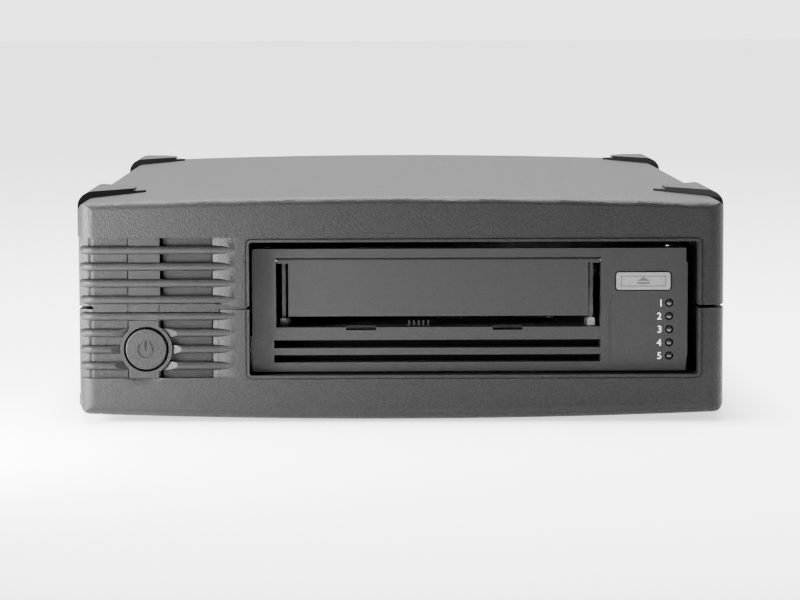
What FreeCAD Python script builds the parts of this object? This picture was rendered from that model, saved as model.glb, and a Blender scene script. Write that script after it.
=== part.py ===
"""Half-height data tape drive in a table-top case. Millimetres, +Z up, +Y towards the rear,
origin under the middle of the case at the height of the surface it stands on."""

import FreeCAD, Part
import math
import os

os.makedirs("parts", exist_ok=True)

Vec = FreeCAD.Vector
ALONG_X = Vec(1, 0, 0)
ALONG_Y = Vec(0, 1, 0)
ALONG_Z = Vec(0, 0, 1)

# ---- case ----
width = 216.0
length = 310.0
parting_z = 38.6  # height of the line where the two covers meet
crown_rise = 37.2  # parting line to the top of the crowned lid
crown_drop = 37.9
crown_radius = 2700.0
wall = 2.5
front_wall = 3.0
corner_radius = 5.5  # upright corners
top_edge_radius = 3.0
bottom_edge_radius = 4.5
front_edge_radius = 2.8
front_low_edge_radius = 4.0
rear_edge_radius = 1.5
parting_gap = 1.1
tongue_height = 2.0
tongue_thickness = 1.0
tongue_gap = 0.2
tongue_start = 21.0  # behind the front face

# ---- corner pads and feet ----
pad_rise = 0.15  # above the middle of the crowned lid
pad_proud = 2.1  # beyond the side walls
pad_radius = 4.5
pad_width = 17.5  # from the outer side in to the step
pad_tip_length = 4.0
pad_tip_drop = 0.9
pad_tip_radius = 1.0
pad_place = 56.0  # front face to the tip of a front pad
pad_rear_place = 16.0  # rear end to the tip of a rear pad
pad_half_length = 31.0
pad_side_drop = 15.0  # how far a pad runs down the side wall from its top
pad_end_inset = 1.5  # a rear pad is cut off this far before the rear end
foot_side_rise = 7.0

# ---- louvre on the front left corner ----
groove_count = 9
groove_pitch = 5.54
groove_height = 2.7
rib_crest_depth = 0.12
rib_shoulder_depth = 1.35
louvre_back = 4.6  # thickness of the wall behind the louvre
ramp_end_gap = 1.7  # from the end of the ramps to the opening
ramp_share = 0.188  # of the louvre's width
ramp_line_place = 1.5  # fine line across the lower ramps
ramp_line_width = 0.15
ramp_depth = 2.0
deep_floor = 2.9
mid_floor = 2.1
strip_depth = 1.3
strip_share = 0.303  # raised strip, from the side wall, as a share of the louvre's width
strip_width_share = 0.19
slit_width = 1.0
seam_width = 0.45
seam_depth = 0.8
lip_depth = 0.9
wrap_angle = 50.0  # how far the louvre's floor runs round the corner
wrap_end_angle = 78.0  # where it comes out on the corner
seam_strip_depth = 0.45
seam_strip_gap = 0.2

# ---- power button ----
button_share = 0.408  # from the side wall, as a share of the louvre's width
button_radius = 6.85
button_gap = 0.7
ring_radius = 8.7
ring_depth = 0.9
scoop_depth = 1.6
scoop_radius = 12.1
button_depth = 0.7
button_travel = 1.5
stem_radius = 2.4
stem_fit = 0.05
cap_thickness = 2.4
cap_skirt = 1.2
button_spring_space = 5.0
guide_thickness = 1.6

# ---- framed opening for the drive ----
opening_side = 8.8  # from the opening to the right side wall
opening_low = 22.7
opening_high = 21.9
opening_corner = 0.9
bead_width = 0.9
bead_proud = 0.4
bead_groove = 0.4
sleeve_depth = 9.0

# ---- drive ----
face_width = 146.05
face_height = 41.3
face_recess = 5.0
face_side_gap = 0.8
face_right_gap = 3.25
face_low_gap = 0.7
bezel_thickness = 6.0
slot_left = 8.0
slot_width = 108.9
slot_top = 3.05
slot_height = 23.35
sill_notch_width = 10.1
sill_notch_depth = 1.0
sill_notch_offset = 24.6  # from the middle of the pair to the middle of a notch
sill_notch_shift = 1.3  # the pair lies this far left of the slot's middle
vent_left = 7.3
vent_tops = (30.7, 35.7)
vent_heights = (2.7, 2.5)
vent_width = 109.6
panel_proud = 0.25  # the control panel stands this far out of the face
field_left = 2.8  # sunk field round the lamps, from the control panel's left edge
field_right = 3.1  # from the face's right edge
field_top = 15.7
field_low = 38.9
field_corner = 2.0
field_depth = 0.15
edge_step = 0.5  # the face is this much narrower at its upper and lower right corners
edge_step_height = 4.8

door_gap = 0.1
door_side_gap = 0.3
door_thickness = 1.5
door_set_back = 0.2
door_strip = 1.75
door_notch = 4.15
door_height = 19.55
door_pin_radius = 0.35
door_pin_fit = 0.05
door_pin_seat = 2.5

eject_inset = 5.2  # from the control panel's left edge
eject_top = 8.2
eject_right_gap = 5.8  # from the key to the face's right edge
eject_height = 5.8
eject_gap = 0.4
eject_proud = 0.6
eject_travel = 0.8
eject_stem_radius = 1.0

lens_inset = 6.1  # from the face's right edge
lens_top = 18.5
lens_pitch = 4.45
lens_count = 5
lens_radius = 1.1
lens_rim = 0.3  # dark gap round each lens
lens_crown = 0.5
lens_proud = 0.1
lamp_height = 1.2

chassis_length = 192.0
chassis_side = 2.0
chassis_inset = 0.3
deck_drop = 32.0  # top of the face to the top of the deck
deck_set_back = 12.0  # the deck starts this far behind the bezel
deck_thickness = 2.0
lid_thickness = 1.0
board_thickness = 1.6

# ---- cartridge and its tray ----
cartridge_width = 102.0
cartridge_gap = 0.5
tray_wall = 1.2
tray_floor = 1.0
tray_floor_drop = 26.9
tray_start = 11.5
tray_length = 98.0
tray_travel = 12.0
tray_wall_height = 21.6
post_width = 2.8
post_height = 3.8
comb_left = 10.0  # from the slot's middle to the first tooth
comb_pitch = 1.6

# ---- loader gears ----
gear_module = 0.6
gear_teeth = 24
pinion_teeth = 12
pressure_angle = 20.0
backlash = 0.1
gear_thickness = 3.0
gear_lift = 16.7  # above the deck
gear_post_radius = 1.5
gear_fit = 0.05
gear_place = 70.0  # behind the face
motor_radius = 5.5

# ---- hub, reel, rollers and head ----
hub_place = 64.0
hub_radius = 13.0
hub_face_teeth = 24
shaft_radius = 1.5
shaft_fit = 0.05
reel_place = 160.0
reel_offset = 22.0
reel_radius = 30.0
reel_core_radius = 17.0
reel_height = 16.0
flange_thickness = 1.2
path_offset = -14.0
path_radius = 40.0
roller_angles = (-44.0, -22.0, 22.0, 44.0)
roller_radius = 4.5
roller_height = 13.5
head_travel = 1.5
head_rod_radius = 0.8

# ---- rear ----
panel_thickness = 1.2
panel_inset = 4.0
panel_gap = 0.3
fan_size = 60.0
fan_depth = 20.0
fan_place = 50.0  # from the right side wall to the fan's axis
fan_corner_radius = 4.0
fan_screw_spacing = 50.0
fan_blade_count = 7
rotor_radius = 26.5
rotor_hub_radius = 13.0
rotor_gap = 0.9
inlet_place = 32.0  # from the left side wall to the inlet's middle
inlet_width = 27.0
inlet_height = 19.5
inlet_screw_spacing = 40.0
port_place = 72.0  # from the fan's axis to the middle of the ports
port_pitch = 26.0
port_width = 18.0
port_height = 11.0
port_depth = 20.0
port_wall = 0.8

# ---- power supply beside the drive ----
supply_place = 11.0  # from the left side wall
supply_gap = 7.20  # from the board to the drive
supply_start = 46.0
supply_length = 170.0
supply_board_z = 12.0

# ---- places worked out from the sizes ----
half_width = width / 2
opening_right_x = half_width - opening_side
opening_left_x = opening_right_x - face_right_gap - face_width - face_side_gap
ramp_end_x = opening_left_x - ramp_end_gap
louvre_width = ramp_end_x + half_width
ramp_run = ramp_share * louvre_width
ramp_start_x = ramp_end_x - ramp_run
lip_right_x = ramp_start_x + 2.0
strip_left_x = strip_share * louvre_width - half_width
strip_right_x = strip_left_x + strip_width_share * louvre_width
button_x = button_share * louvre_width - half_width
fan_x = half_width - fan_place
inlet_x = inlet_place - half_width
port_x = fan_x - port_place
supply_left_x = supply_place - half_width
panel_line = slot_left + slot_width  # left edge of the control panel
eject_left = panel_line + eject_inset
eject_width = face_width - eject_right_gap - eject_left
lens_left = face_width - lens_inset
front_y = -(length - bead_proud) / 2
rear_y = front_y + length
top_z = parting_z + crown_rise
bottom_z = parting_z - crown_drop
louvre_half = (groove_count - 1) / 2 * groove_pitch + groove_height / 2
rib_height = groove_pitch - groove_height
button_z = parting_z - 2.5 * groove_pitch
face_left = opening_left_x + face_side_gap
face_low = parting_z - opening_low + face_low_gap
face_top = face_low + face_height
face_y = front_y + face_recess
bezel_back = face_y + bezel_thickness
chassis_left = face_left + chassis_inset
supply_width = chassis_left - supply_gap - supply_left_x
chassis_right = face_left + face_width - chassis_inset
chassis_low = face_low + chassis_inset
chassis_top = face_top - chassis_inset
chassis_rear = bezel_back + chassis_length
deck_z = face_top - deck_drop
drive_x = face_left + face_width / 2
slot_x = face_left + slot_left + slot_width / 2
panel_y = rear_y - panel_inset - panel_thickness


def across(u):
    """X of a point u in from the left edge of the drive face."""
    return face_left + u


def down(v):
    """Z of a point v below the top edge of the drive face."""
    return face_top - v


def behind(d):
    """Y of a point d behind the drive face."""
    return face_y + d


def crown_sag(x):
    return crown_radius - math.sqrt(crown_radius**2 - x**2)


def block(x0, x1, y0, y1, z0, z1):
    return Part.makeBox(x1 - x0, y1 - y0, z1 - z0, Vec(x0, y0, z0))


def rod(x, y, z, radius, height, axis=ALONG_Z):
    return Part.makeCylinder(radius, height, Vec(x, y, z), axis)


def tube(x, y, z, outer, inner, height, axis=ALONG_Z):
    bar = rod(x, y, z, outer, height, axis)
    return bar.cut(rod(x, y, z, inner, height, axis))


def joined(shapes):
    whole = shapes[0]
    if len(shapes) > 1:
        whole = whole.multiFuse(shapes[1:])
    return whole.removeSplitter()


def rounded_face(corners, place):
    """Closed outline through (a, b, radius) corners, put into space by place(a, b)."""
    ins, mids, outs = [], [], []
    for i, (a, b, radius) in enumerate(corners):
        corner = Vec(a, b, 0)
        before = corners[i - 1]
        after = corners[(i + 1) % len(corners)]
        u = (Vec(before[0], before[1], 0) - corner).normalize()
        v = (Vec(after[0], after[1], 0) - corner).normalize()
        half = u.getAngle(v) / 2
        run = radius / math.tan(half)
        bisector = (u + v).normalize()
        ins.append(corner + u * run)
        outs.append(corner + v * run)
        mids.append(corner + bisector * (radius / math.sin(half) - radius))
    edges = []
    for i, (a, b, radius) in enumerate(corners):
        start, mid, end = (place(p.x, p.y) for p in (ins[i], mids[i], outs[i]))
        if radius > 0:
            edges.append(Part.Arc(start, mid, end).toShape())
        following = ins[(i + 1) % len(corners)]
        following = place(following.x, following.y)
        if (following - end).Length > 1e-6:
            edges.append(Part.LineSegment(end, following).toShape())
    return Part.Face(Part.Wire(edges))


def rounded_block(x0, x1, y0, y1, z0, z1, radius, axis="y"):
    """Block with the four edges along one axis rounded."""
    if axis == "y":
        sides = (x0, x1, z0, z1)
        face = lambda a, b: Vec(a, y0, b)
        depth = Vec(0, y1 - y0, 0)
    elif axis == "z":
        sides = (x0, x1, y0, y1)
        face = lambda a, b: Vec(a, b, z0)
        depth = Vec(0, 0, z1 - z0)
    else:
        sides = (y0, y1, z0, z1)
        face = lambda a, b: Vec(x0, a, b)
        depth = Vec(x1 - x0, 0, 0)
    a0, a1, b0, b1 = sides
    corners = [(a0, b0, radius), (a1, b0, radius), (a1, b1, radius), (a0, b1, radius)]
    return rounded_face(corners, face).extrude(depth)


def coil(x, y, z, radius, wire, height, turns, axis=ALONG_Z):
    """Compression spring: six-sided wire sections set along a helix and joined by ruled faces."""
    steps = 10 * turns
    sections = []
    for i in range(steps + 1):
        angle = 2 * math.pi * turns * i / steps
        outward = Vec(math.cos(angle), math.sin(angle), 0)
        middle = outward * radius + ALONG_Z * (wire + (height - 2 * wire) * i / steps)
        ring = []
        for corner in range(6):
            turn = math.pi / 3 * corner
            ring.append(middle + outward * (wire * math.cos(turn)) + ALONG_Z * (wire * math.sin(turn)))
        sections.append(Part.makePolygon(ring + [ring[0]]))
    spring = Part.makeLoft(sections, True, True)
    if axis != ALONG_Z:
        spring.rotate(Vec(0, 0, 0), ALONG_Z.cross(axis), 90)
    spring.translate(Vec(x, y, z))
    return spring


def save(name, shape):
    solids = shape.Solids
    body = solids[0] if len(solids) == 1 else Part.makeCompound(solids)
    body.exportStep(f"parts/{name}.step")
    print(f"{name}: {len(solids)} solid(s), {body.Volume / 1000:.2f} cm3, valid {body.isValid()}")


# ---- covers ----
def crowned_bar(inset):
    """Long bar with the case's crowned section, every side moved in by inset."""
    side = half_width - inset
    high = top_z - inset
    low = bottom_z + inset
    sag = crown_sag(side)
    top = Part.Arc(Vec(-side, 0, high - sag), Vec(0, 0, high), Vec(side, 0, high - sag))
    foot = Part.Arc(Vec(side, 0, low + sag), Vec(0, 0, low), Vec(-side, 0, low + sag))
    right = Part.LineSegment(Vec(side, 0, high - sag), Vec(side, 0, low + sag))
    left = Part.LineSegment(Vec(-side, 0, low + sag), Vec(-side, 0, high - sag))
    section = Part.Face(Part.Wire([part.toShape() for part in (top, right, foot, left)]))
    section.translate(Vec(0, front_y, 0))
    bar = section.extrude(Vec(0, length, 0))
    upper, lower = [], []
    for edge in bar.Edges:
        ends = [vertex.Point for vertex in edge.Vertexes]
        if abs(ends[0].y - ends[1].y) > length / 2:
            (upper if ends[0].z > parting_z else lower).append(edge)
    bar = bar.makeFillet(top_edge_radius - inset, upper)
    lower = [e for e in bar.Edges if is_low_side_edge(e, side)]
    return bar.makeFillet(bottom_edge_radius - inset, lower)


def is_low_side_edge(edge, side):
    ends = [vertex.Point for vertex in edge.Vertexes]
    if len(ends) < 2 or abs(ends[0].y - ends[1].y) < length / 2:
        return False
    return ends[0].z < parting_z and abs(abs(ends[0].x) - side) < 0.01


def case_envelope(upward):
    """Outer form of one cover: crowned section, rounded plan and rounded front and rear edges."""
    plan_corners = [
        (-half_width, front_y, corner_radius),
        (half_width, front_y, corner_radius),
        (half_width, rear_y, corner_radius),
        (-half_width, rear_y, corner_radius),
    ]
    plan = rounded_face(plan_corners, lambda a, b: Vec(a, b, 0)).extrude(Vec(0, 0, top_z + wall))
    crest = top_z if upward else bottom_z
    inner = parting_z - louvre_half if upward else parting_z + louvre_half
    front_radius = front_edge_radius if upward else front_low_edge_radius
    profile_corners = [
        (front_y, inner, 0),
        (rear_y, inner, 0),
        (rear_y, crest, rear_edge_radius),
        (front_y, crest, front_radius),
    ]
    profile = rounded_face(profile_corners, lambda a, b: Vec(0, a, b))
    pivot = Vec(0, 0, crest - crown_radius if upward else crest + crown_radius)
    reach = math.degrees(math.asin(half_width / (crown_radius - top_z))) * 1.2
    profile.rotate(pivot, ALONG_Y, -reach)
    sector = profile.revolve(pivot, ALONG_Y, 2 * reach)
    return crowned_bar(0).common(plan).common(sector)


def louvre_backing():
    """Thicker wall behind the louvre, on the front and round the left corner."""
    low = parting_z - louvre_half - wall
    high = parting_z + louvre_half + wall
    front = block(-half_width, opening_left_x - bead_width, front_y + 1, front_y + louvre_back, low, high)
    side = block(
        -half_width + 1, -half_width + louvre_back, front_y + 1, front_y + corner_radius + wall, low, high
    )
    return front.fuse(side)


def round_corner(radius, angle):
    """Point on a turn about the upright axis of the front left corner; the angle counts from the front."""
    turn = math.radians(angle)
    return Vec(
        corner_radius - half_width - radius * math.sin(turn),
        front_y + corner_radius - radius * math.cos(turn),
        0,
    )


def louvre_pocket():
    """Plan of the louvre recess: a ramp that rolls off the face, stepped floors, and the corner."""
    cross = 0.02  # the ramp meets the face at a fine angle, not in a bare tangent
    outside = 2.0
    ramp_radius = (ramp_run**2 + (ramp_depth + cross) ** 2) / (2 * (ramp_depth + cross))
    half_angle = math.asin(ramp_run / ramp_radius) / 2
    ramp_mid = Vec(
        ramp_end_x - ramp_radius * math.sin(half_angle),
        front_y - cross + ramp_radius * (1 - math.cos(half_angle)),
        0,
    )
    floor_turn = corner_radius - mid_floor
    points = [
        Vec(ramp_start_x, front_y + ramp_depth, 0),
        Vec(ramp_start_x, front_y + deep_floor, 0),
        Vec(strip_right_x, front_y + deep_floor, 0),
        Vec(strip_right_x, front_y + mid_floor, 0),
        round_corner(floor_turn, 0),
    ]
    floor_end = round_corner(floor_turn, wrap_angle)
    edges = [
        Part.LineSegment(Vec(ramp_end_x, front_y - outside, 0), Vec(ramp_end_x, front_y - cross, 0)),
        Part.Arc(Vec(ramp_end_x, front_y - cross, 0), ramp_mid, points[0]),
    ]
    edges += [Part.LineSegment(a, b) for a, b in zip(points, points[1:])]
    edges.append(Part.Arc(points[-1], round_corner(floor_turn, wrap_angle / 2), floor_end))
    rest = [
        floor_end,
        round_corner(corner_radius + cross, wrap_end_angle),
        round_corner(corner_radius + outside, wrap_end_angle),
        Vec(-half_width - outside, front_y - outside, 0),
        Vec(ramp_end_x, front_y - outside, 0),
    ]
    edges += [Part.LineSegment(a, b) for a, b in zip(rest, rest[1:])]
    plan = Part.Face(Part.Wire([edge.toShape() for edge in edges]))
    plan.translate(Vec(0, 0, parting_z - louvre_half))
    return plan.extrude(Vec(0, 0, 2 * louvre_half))


def louvre_rib(z):
    """One rounded rib: a straight bar and the turn round the corner."""
    turn_x = -half_width + corner_radius
    turn_y = front_y + corner_radius
    shoulder = front_y + rib_shoulder_depth
    root = front_y + louvre_back - 0.4
    low = Vec(turn_x, shoulder, z - rib_height / 2)
    high = Vec(turn_x, shoulder, z + rib_height / 2)
    crest = Vec(turn_x, front_y + rib_crest_depth, z)
    low_root = Vec(turn_x, root, low.z)
    high_root = Vec(turn_x, root, high.z)
    edges = [
        Part.Arc(low, crest, high),
        Part.LineSegment(high, high_root),
        Part.LineSegment(high_root, low_root),
        Part.LineSegment(low_root, low),
    ]
    section = Part.Face(Part.Wire([edge.toShape() for edge in edges]))
    bar = section.extrude(Vec(ramp_end_x - turn_x, 0, 0))
    corner = section.revolve(Vec(turn_x, turn_y, z), Vec(0, 0, -1), 90)
    return bar.fuse(corner)


def rib_heights(upward):
    """Middle heights of the ribs that belong to one cover."""
    sign = 1 if upward else -1
    return [parting_z + sign * (i + 0.5) * groove_pitch for i in range(groove_count // 2)]


def seam_strip():
    """Flange of the top cover that backs the front seam between the louvre and the opening."""
    return block(
        lip_right_x - 1.0,
        opening_left_x - bead_width,
        front_y + seam_strip_depth,
        front_y + front_wall,
        parting_z - parting_gap / 2 + seam_strip_gap,
        parting_z + parting_gap,
    )


def louvre_lip():
    """Strip that closes the middle groove nearly flush; it hangs from the top cover."""
    lip = block(
        -half_width + corner_radius - seam_width,
        lip_right_x,
        front_y + lip_depth,
        front_y + louvre_back,
        parting_z - groove_height / 2,
        parting_z + groove_height / 2,
    )
    seams = []
    for x in (strip_left_x, strip_right_x):
        seams.append(
            block(
                x - seam_width, x, front_y, front_y + lip_depth + 0.3, parting_z - groove_pitch,
                parting_z + groove_pitch
            )
        )
    return lip.cut(seams)


def power_button_seat(cover):
    """Conical scoop through the ribs, the ring and guide of the power button, and two plates."""
    scoop = Part.makeCone(
        ring_radius, scoop_radius, scoop_depth, Vec(
            button_x, front_y + scoop_depth, button_z,
        ), Vec(0, -1, 0)
    )
    cover = cover.cut(scoop)
    guide_y = front_y + button_depth + cap_thickness + button_spring_space
    ring_length = guide_y + guide_thickness - front_y - ring_depth
    ring = rod(button_x, front_y + ring_depth, button_z, ring_radius, ring_length, ALONG_Y)
    half_groove = groove_height / 2
    plate_high = parting_z - groove_pitch + half_groove
    plate_low = parting_z - louvre_half
    plate = block(
        strip_left_x, strip_right_x - slit_width / 2, front_y + ring_depth, front_y + louvre_back - 0.2,
        plate_low, plate_high
    )
    cover = cover.multiFuse([ring, plate])
    well = rod(
        button_x, front_y - 1, button_z, button_radius + button_gap, guide_y - front_y + 1, ALONG_Y
    )
    guide = rod(button_x, guide_y - 1, button_z, stem_radius + stem_fit, guide_thickness + 2, ALONG_Y)
    return cover.cut([well, guide])


def drive_opening(cover):
    """Opening with its raised bead, the fine groove round it and the sleeve behind it."""
    low = parting_z - opening_low
    high = parting_z + opening_high
    outer_radius = opening_corner + bead_width

    def frame(grow, y0, y1):
        return rounded_block(
            opening_left_x - grow,
            opening_right_x + grow,
            y0,
            y1,
            low - grow,
            high + grow,
            opening_corner + grow,
        )

    bead = frame(bead_width, front_y - bead_proud, front_y + sleeve_depth)
    ring = frame(bead_width + bead_groove, front_y - 1, front_y + bead_groove)
    cover = cover.cut(ring).fuse(bead)
    return cover.cut(frame(0, front_y - 2, front_y + sleeve_depth + 1))


def cavity():
    """Inside of the case, open at the rear."""
    inside = crowned_bar(wall)
    return inside.common(
        block(-half_width, half_width, front_y + front_wall, rear_y + 1, 0, top_z)
    ).fuse(
        crowned_bar(wall).common(
            block(-half_width, half_width, rear_y - 2 * panel_inset, rear_y, 0, top_z)
        )
    )


boss_radius = 3.6
boss_thickening = 0.6  # the lower bosses are this much stouter
boss_in = wall + boss_radius + boss_thickening / 3  # the stout part runs into the side wall
front_screw_place = 32.0  # clear of the feet
rear_screw_place = 50.0
screw_places = [
    (half_width - boss_in, front_y + front_screw_place),
    (half_width - boss_in, rear_y - rear_screw_place),
    (-half_width + boss_in, front_y + front_screw_place),
    (-half_width + boss_in, rear_y - rear_screw_place),
]
screw_radius = 1.5
screw_hole_radius = 1.7
screw_head_radius = 2.8
screw_head_height = 2.2
screw_seat_z = parting_z - 14.0
screw_length = 22.0
boss_meet_gap = 0.1


def panel_rails(inside, upward):
    """Two low rails round the inside that hold the rear panel between them."""
    rails = []
    rail = 2.2
    rail_width = 1.6
    for y in (panel_y - panel_gap - rail_width, panel_y + panel_thickness + panel_gap):
        slice_ = inside.common(block(-half_width, half_width, y, y + rail_width, 0, top_z + 1))
        hole = block(
            -half_width + wall + rail,
            half_width - wall - rail,
            y,
            y + rail_width,
            bottom_z + wall + crown_sag(half_width) + rail,
            top_z - wall - crown_sag(half_width) - rail,
        )
        rails.append(slice_.cut(hole))
    return rails


def top_cover():
    inside = cavity()
    cover = case_envelope(True)
    ground = block(-half_width, half_width, front_y - 1, rear_y + 1, parting_z + parting_gap / 2, top_z + 1)
    backing = louvre_backing().common(case_envelope(True))
    cover = cover.cut(inside).fuse(backing)
    rails = panel_rails(inside, True)
    cover = cover.multiFuse(rails).cut(louvre_pocket())
    strip = block(
        strip_left_x, strip_right_x, front_y + strip_depth, front_y + louvre_back, parting_z,
        parting_z + louvre_half
    )
    cover = cover.fuse(strip)
    cover = cover.cut(louvre_slits(parting_z, parting_z + louvre_half))
    cover = cover.multiFuse([louvre_rib(z) for z in rib_heights(True)])
    cover = drive_opening(cover).common(ground)
    cover = cover.multiFuse([louvre_lip(), seam_strip()])
    bosses = []
    holes = []
    for x, y in screw_places:
        base = parting_z + boss_meet_gap / 2
        boss = rod(x, y, base, boss_radius, top_z - base).common(inside)
        bosses.append(boss)
        holes.append(rod(x, y, base - 1, screw_radius, screw_length - 6))
    return cover.multiFuse(bosses).cut(holes)


def louvre_slits(low, high):
    """Air slits beside the strip and near the corner, and the fine seams between the floors."""
    turn_x = -half_width + corner_radius
    through = louvre_back + 2
    cuts = [
        block(strip_right_x, strip_right_x + slit_width, front_y - 1, front_y + through, low, high),
        block(turn_x - 2.2, turn_x - 1.1, front_y - 1, front_y + mid_floor + seam_depth, low, high),
        block(
            strip_left_x - seam_width, strip_left_x, front_y - 1, front_y + mid_floor + seam_depth, low,
            high
        ),
        block(
            ramp_start_x - seam_width, ramp_start_x, front_y - 1, front_y + deep_floor + seam_depth, low,
            high
        ),
    ]
    return cuts


def bottom_cover():
    inside = cavity()
    cover = case_envelope(False)
    ground = block(
        -half_width, half_width, front_y - 1, rear_y + 1, bottom_z - 1, parting_z - parting_gap / 2,
    )
    backing = louvre_backing().common(case_envelope(False))
    cover = cover.cut(inside).fuse(backing)
    cover = cover.multiFuse(panel_rails(inside, False)).cut(louvre_pocket())
    low = parting_z - louvre_half
    cover = cover.cut(louvre_slits(low, parting_z - groove_height / 2))
    line_x = ramp_start_x + ramp_line_place
    cover = cover.cut(
        block(
            line_x, line_x + ramp_line_width, front_y - 1, front_y + ramp_depth, low,
            parting_z - groove_height / 2,
        )
    )
    cover = cover.multiFuse([louvre_rib(z) for z in rib_heights(False)])
    cover = power_button_seat(cover)
    cover = drive_opening(cover).common(ground)
    clearance = 0.25
    lip_room = block(
        -half_width + corner_radius - seam_width - clearance,
        lip_right_x + clearance,
        front_y - 1,
        front_y + louvre_back + 1,
        parting_z - groove_height / 2 - clearance,
        parting_z,
    )
    cover = cover.cut(lip_room)
    tongue = inside.common(
        block(
            -half_width,
            half_width,
            front_y + tongue_start,
            panel_y - 3 * wall,
            parting_z - 2 * tongue_height,
            parting_z + tongue_height,
        )
    )
    tongue_inside = block(
        -half_width + wall + tongue_thickness + tongue_gap,
        half_width - wall - tongue_thickness - tongue_gap,
        front_y,
        rear_y,
        0,
        top_z,
    )
    tongue = tongue.cut(tongue_inside)
    relief = block(
        -half_width, -half_width + wall + tongue_gap, front_y, rear_y, parting_z - parting_gap / 2, top_z
    )
    relief_right = relief.mirror(Vec(0, 0, 0), ALONG_X)
    boss_room = [rod(x, y, parting_z, boss_radius + tongue_gap, 2 * tongue_height) for x, y in screw_places]
    tongue = tongue.cut([relief, relief_right] + boss_room)
    bosses = []
    holes = []
    boss_top = parting_z - boss_meet_gap / 2
    for x, y in screw_places:
        bosses.append(rod(x, y, 0, boss_radius + boss_thickening, boss_top).common(inside))
        holes.append(rod(x, y, 0, screw_hole_radius, boss_top + 1))
        holes.append(rod(x, y, -1, screw_head_radius + 0.3, screw_seat_z + 1))
    posts = [cradle_post(x, y) for x, y in cradle_places()]
    stands = [supply_stand(x, y) for x, y in supply_screw_places()]
    switch_posts = [switch_rib(side) for side in (-1, 1)]
    inner = [shape.common(inside) for shape in posts + stands + switch_posts]
    cover = cover.multiFuse([tongue] + bosses + inner)
    return cover.cut(holes + [cradle_pilot(x, y) for x, y in cradle_places()])


# ---- pads and feet ----
def corner_pad(side, tip_y, upward):
    """Wedge that wraps a long edge of the case, its narrow stepped tip pointing in over the lid."""
    outer_x = half_width + pad_proud
    step_x = outer_x - pad_width
    tip_x = step_x - pad_tip_length
    crest = top_z + pad_rise if upward else 0.0
    sign = 1 if upward else -1
    drop = pad_side_drop if upward else foot_side_rise
    step_z = crest - sign * pad_tip_drop
    corners = [
        (tip_x, crest - sign * drop, 0),
        (tip_x, step_z, 0),
        (step_x, step_z, 0),
        (step_x, crest, 0),
        (outer_x, crest, pad_radius),
        (outer_x, crest - sign * drop, 0),
    ]
    section = rounded_face(corners, lambda a, b: Vec(side * a, tip_y - pad_half_length, b))
    bar = section.extrude(Vec(0, 2 * pad_half_length, 0))
    plan_corners = [
        (side * tip_x, tip_y, pad_tip_radius),
        (side * outer_x, tip_y - pad_half_length, 0),
        (side * outer_x, tip_y + pad_half_length, 0),
    ]
    plan = rounded_face(plan_corners, lambda a, b: Vec(a, b, -1)).extrude(Vec(0, 0, top_z + 2))
    end = block(-2 * half_width, 2 * half_width, rear_y - pad_end_inset, rear_y + length, -1, top_z + 1)
    return bar.common(plan).cut([end, case_envelope(upward)])


def corner_pads(upward):
    tips = (front_y + pad_place, rear_y - pad_rear_place)
    solids = []
    for side in (-1, 1):
        for tip_y in tips:
            pad = corner_pad(side, tip_y, upward)
            solids.append(max(pad.Solids, key=lambda solid: solid.Volume))
    return Part.makeCompound(solids)


# ---- what stands on the bottom cover ----
cradle_post_radius = 3.6
cradle_thickness = 1.2
cradle_flange = 12.0
cradle_gap = 0.2
cradle_low = chassis_low - cradle_gap - cradle_thickness


def cradle_places():
    xs = (chassis_left + 14.0, chassis_right - 14.0)
    ys = (bezel_back + 22.0, chassis_rear - 22.0)
    return [(x, y) for x in xs for y in ys]


def cradle_post(x, y):
    return rod(x, y, 0, cradle_post_radius, cradle_low)


def cradle_pilot(x, y):
    return rod(x, y, cradle_low - 5.0, 1.2, 6.0)


def supply_screw_places():
    xs = (supply_left_x + 4.0, supply_left_x + supply_width - 4.0)
    ys = (front_y + supply_start + 5.0, front_y + supply_start + supply_length - 5.0)
    return [(x, y) for x in xs for y in ys]


def supply_stand(x, y):
    return rod(x, y, 0, 3.0, supply_board_z)


switch_board_y = front_y + 24.0
switch_board_low = 8.0
switch_board_width = 2 * min(13.0, button_x + half_width - wall - 1.5)
switch_board_height = 34.0


def switch_rib(side):
    """Upright slotted post that holds one edge of the switch board."""
    x = button_x + side * (switch_board_width / 2 - 1.0)
    post = block(
        min(x, x + side * 3.5), max(x, x + side * 3.5), switch_board_y - 2.0,
        switch_board_y + board_thickness + 2.0,
        0, switch_board_low + switch_board_height * 0.6,
    )
    groove = block(
        x - 2.0, x + 2.0, switch_board_y - 0.15, switch_board_y + board_thickness + 0.15,
        switch_board_low - 0.1, top_z
    )
    return post.cut(groove)


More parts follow.
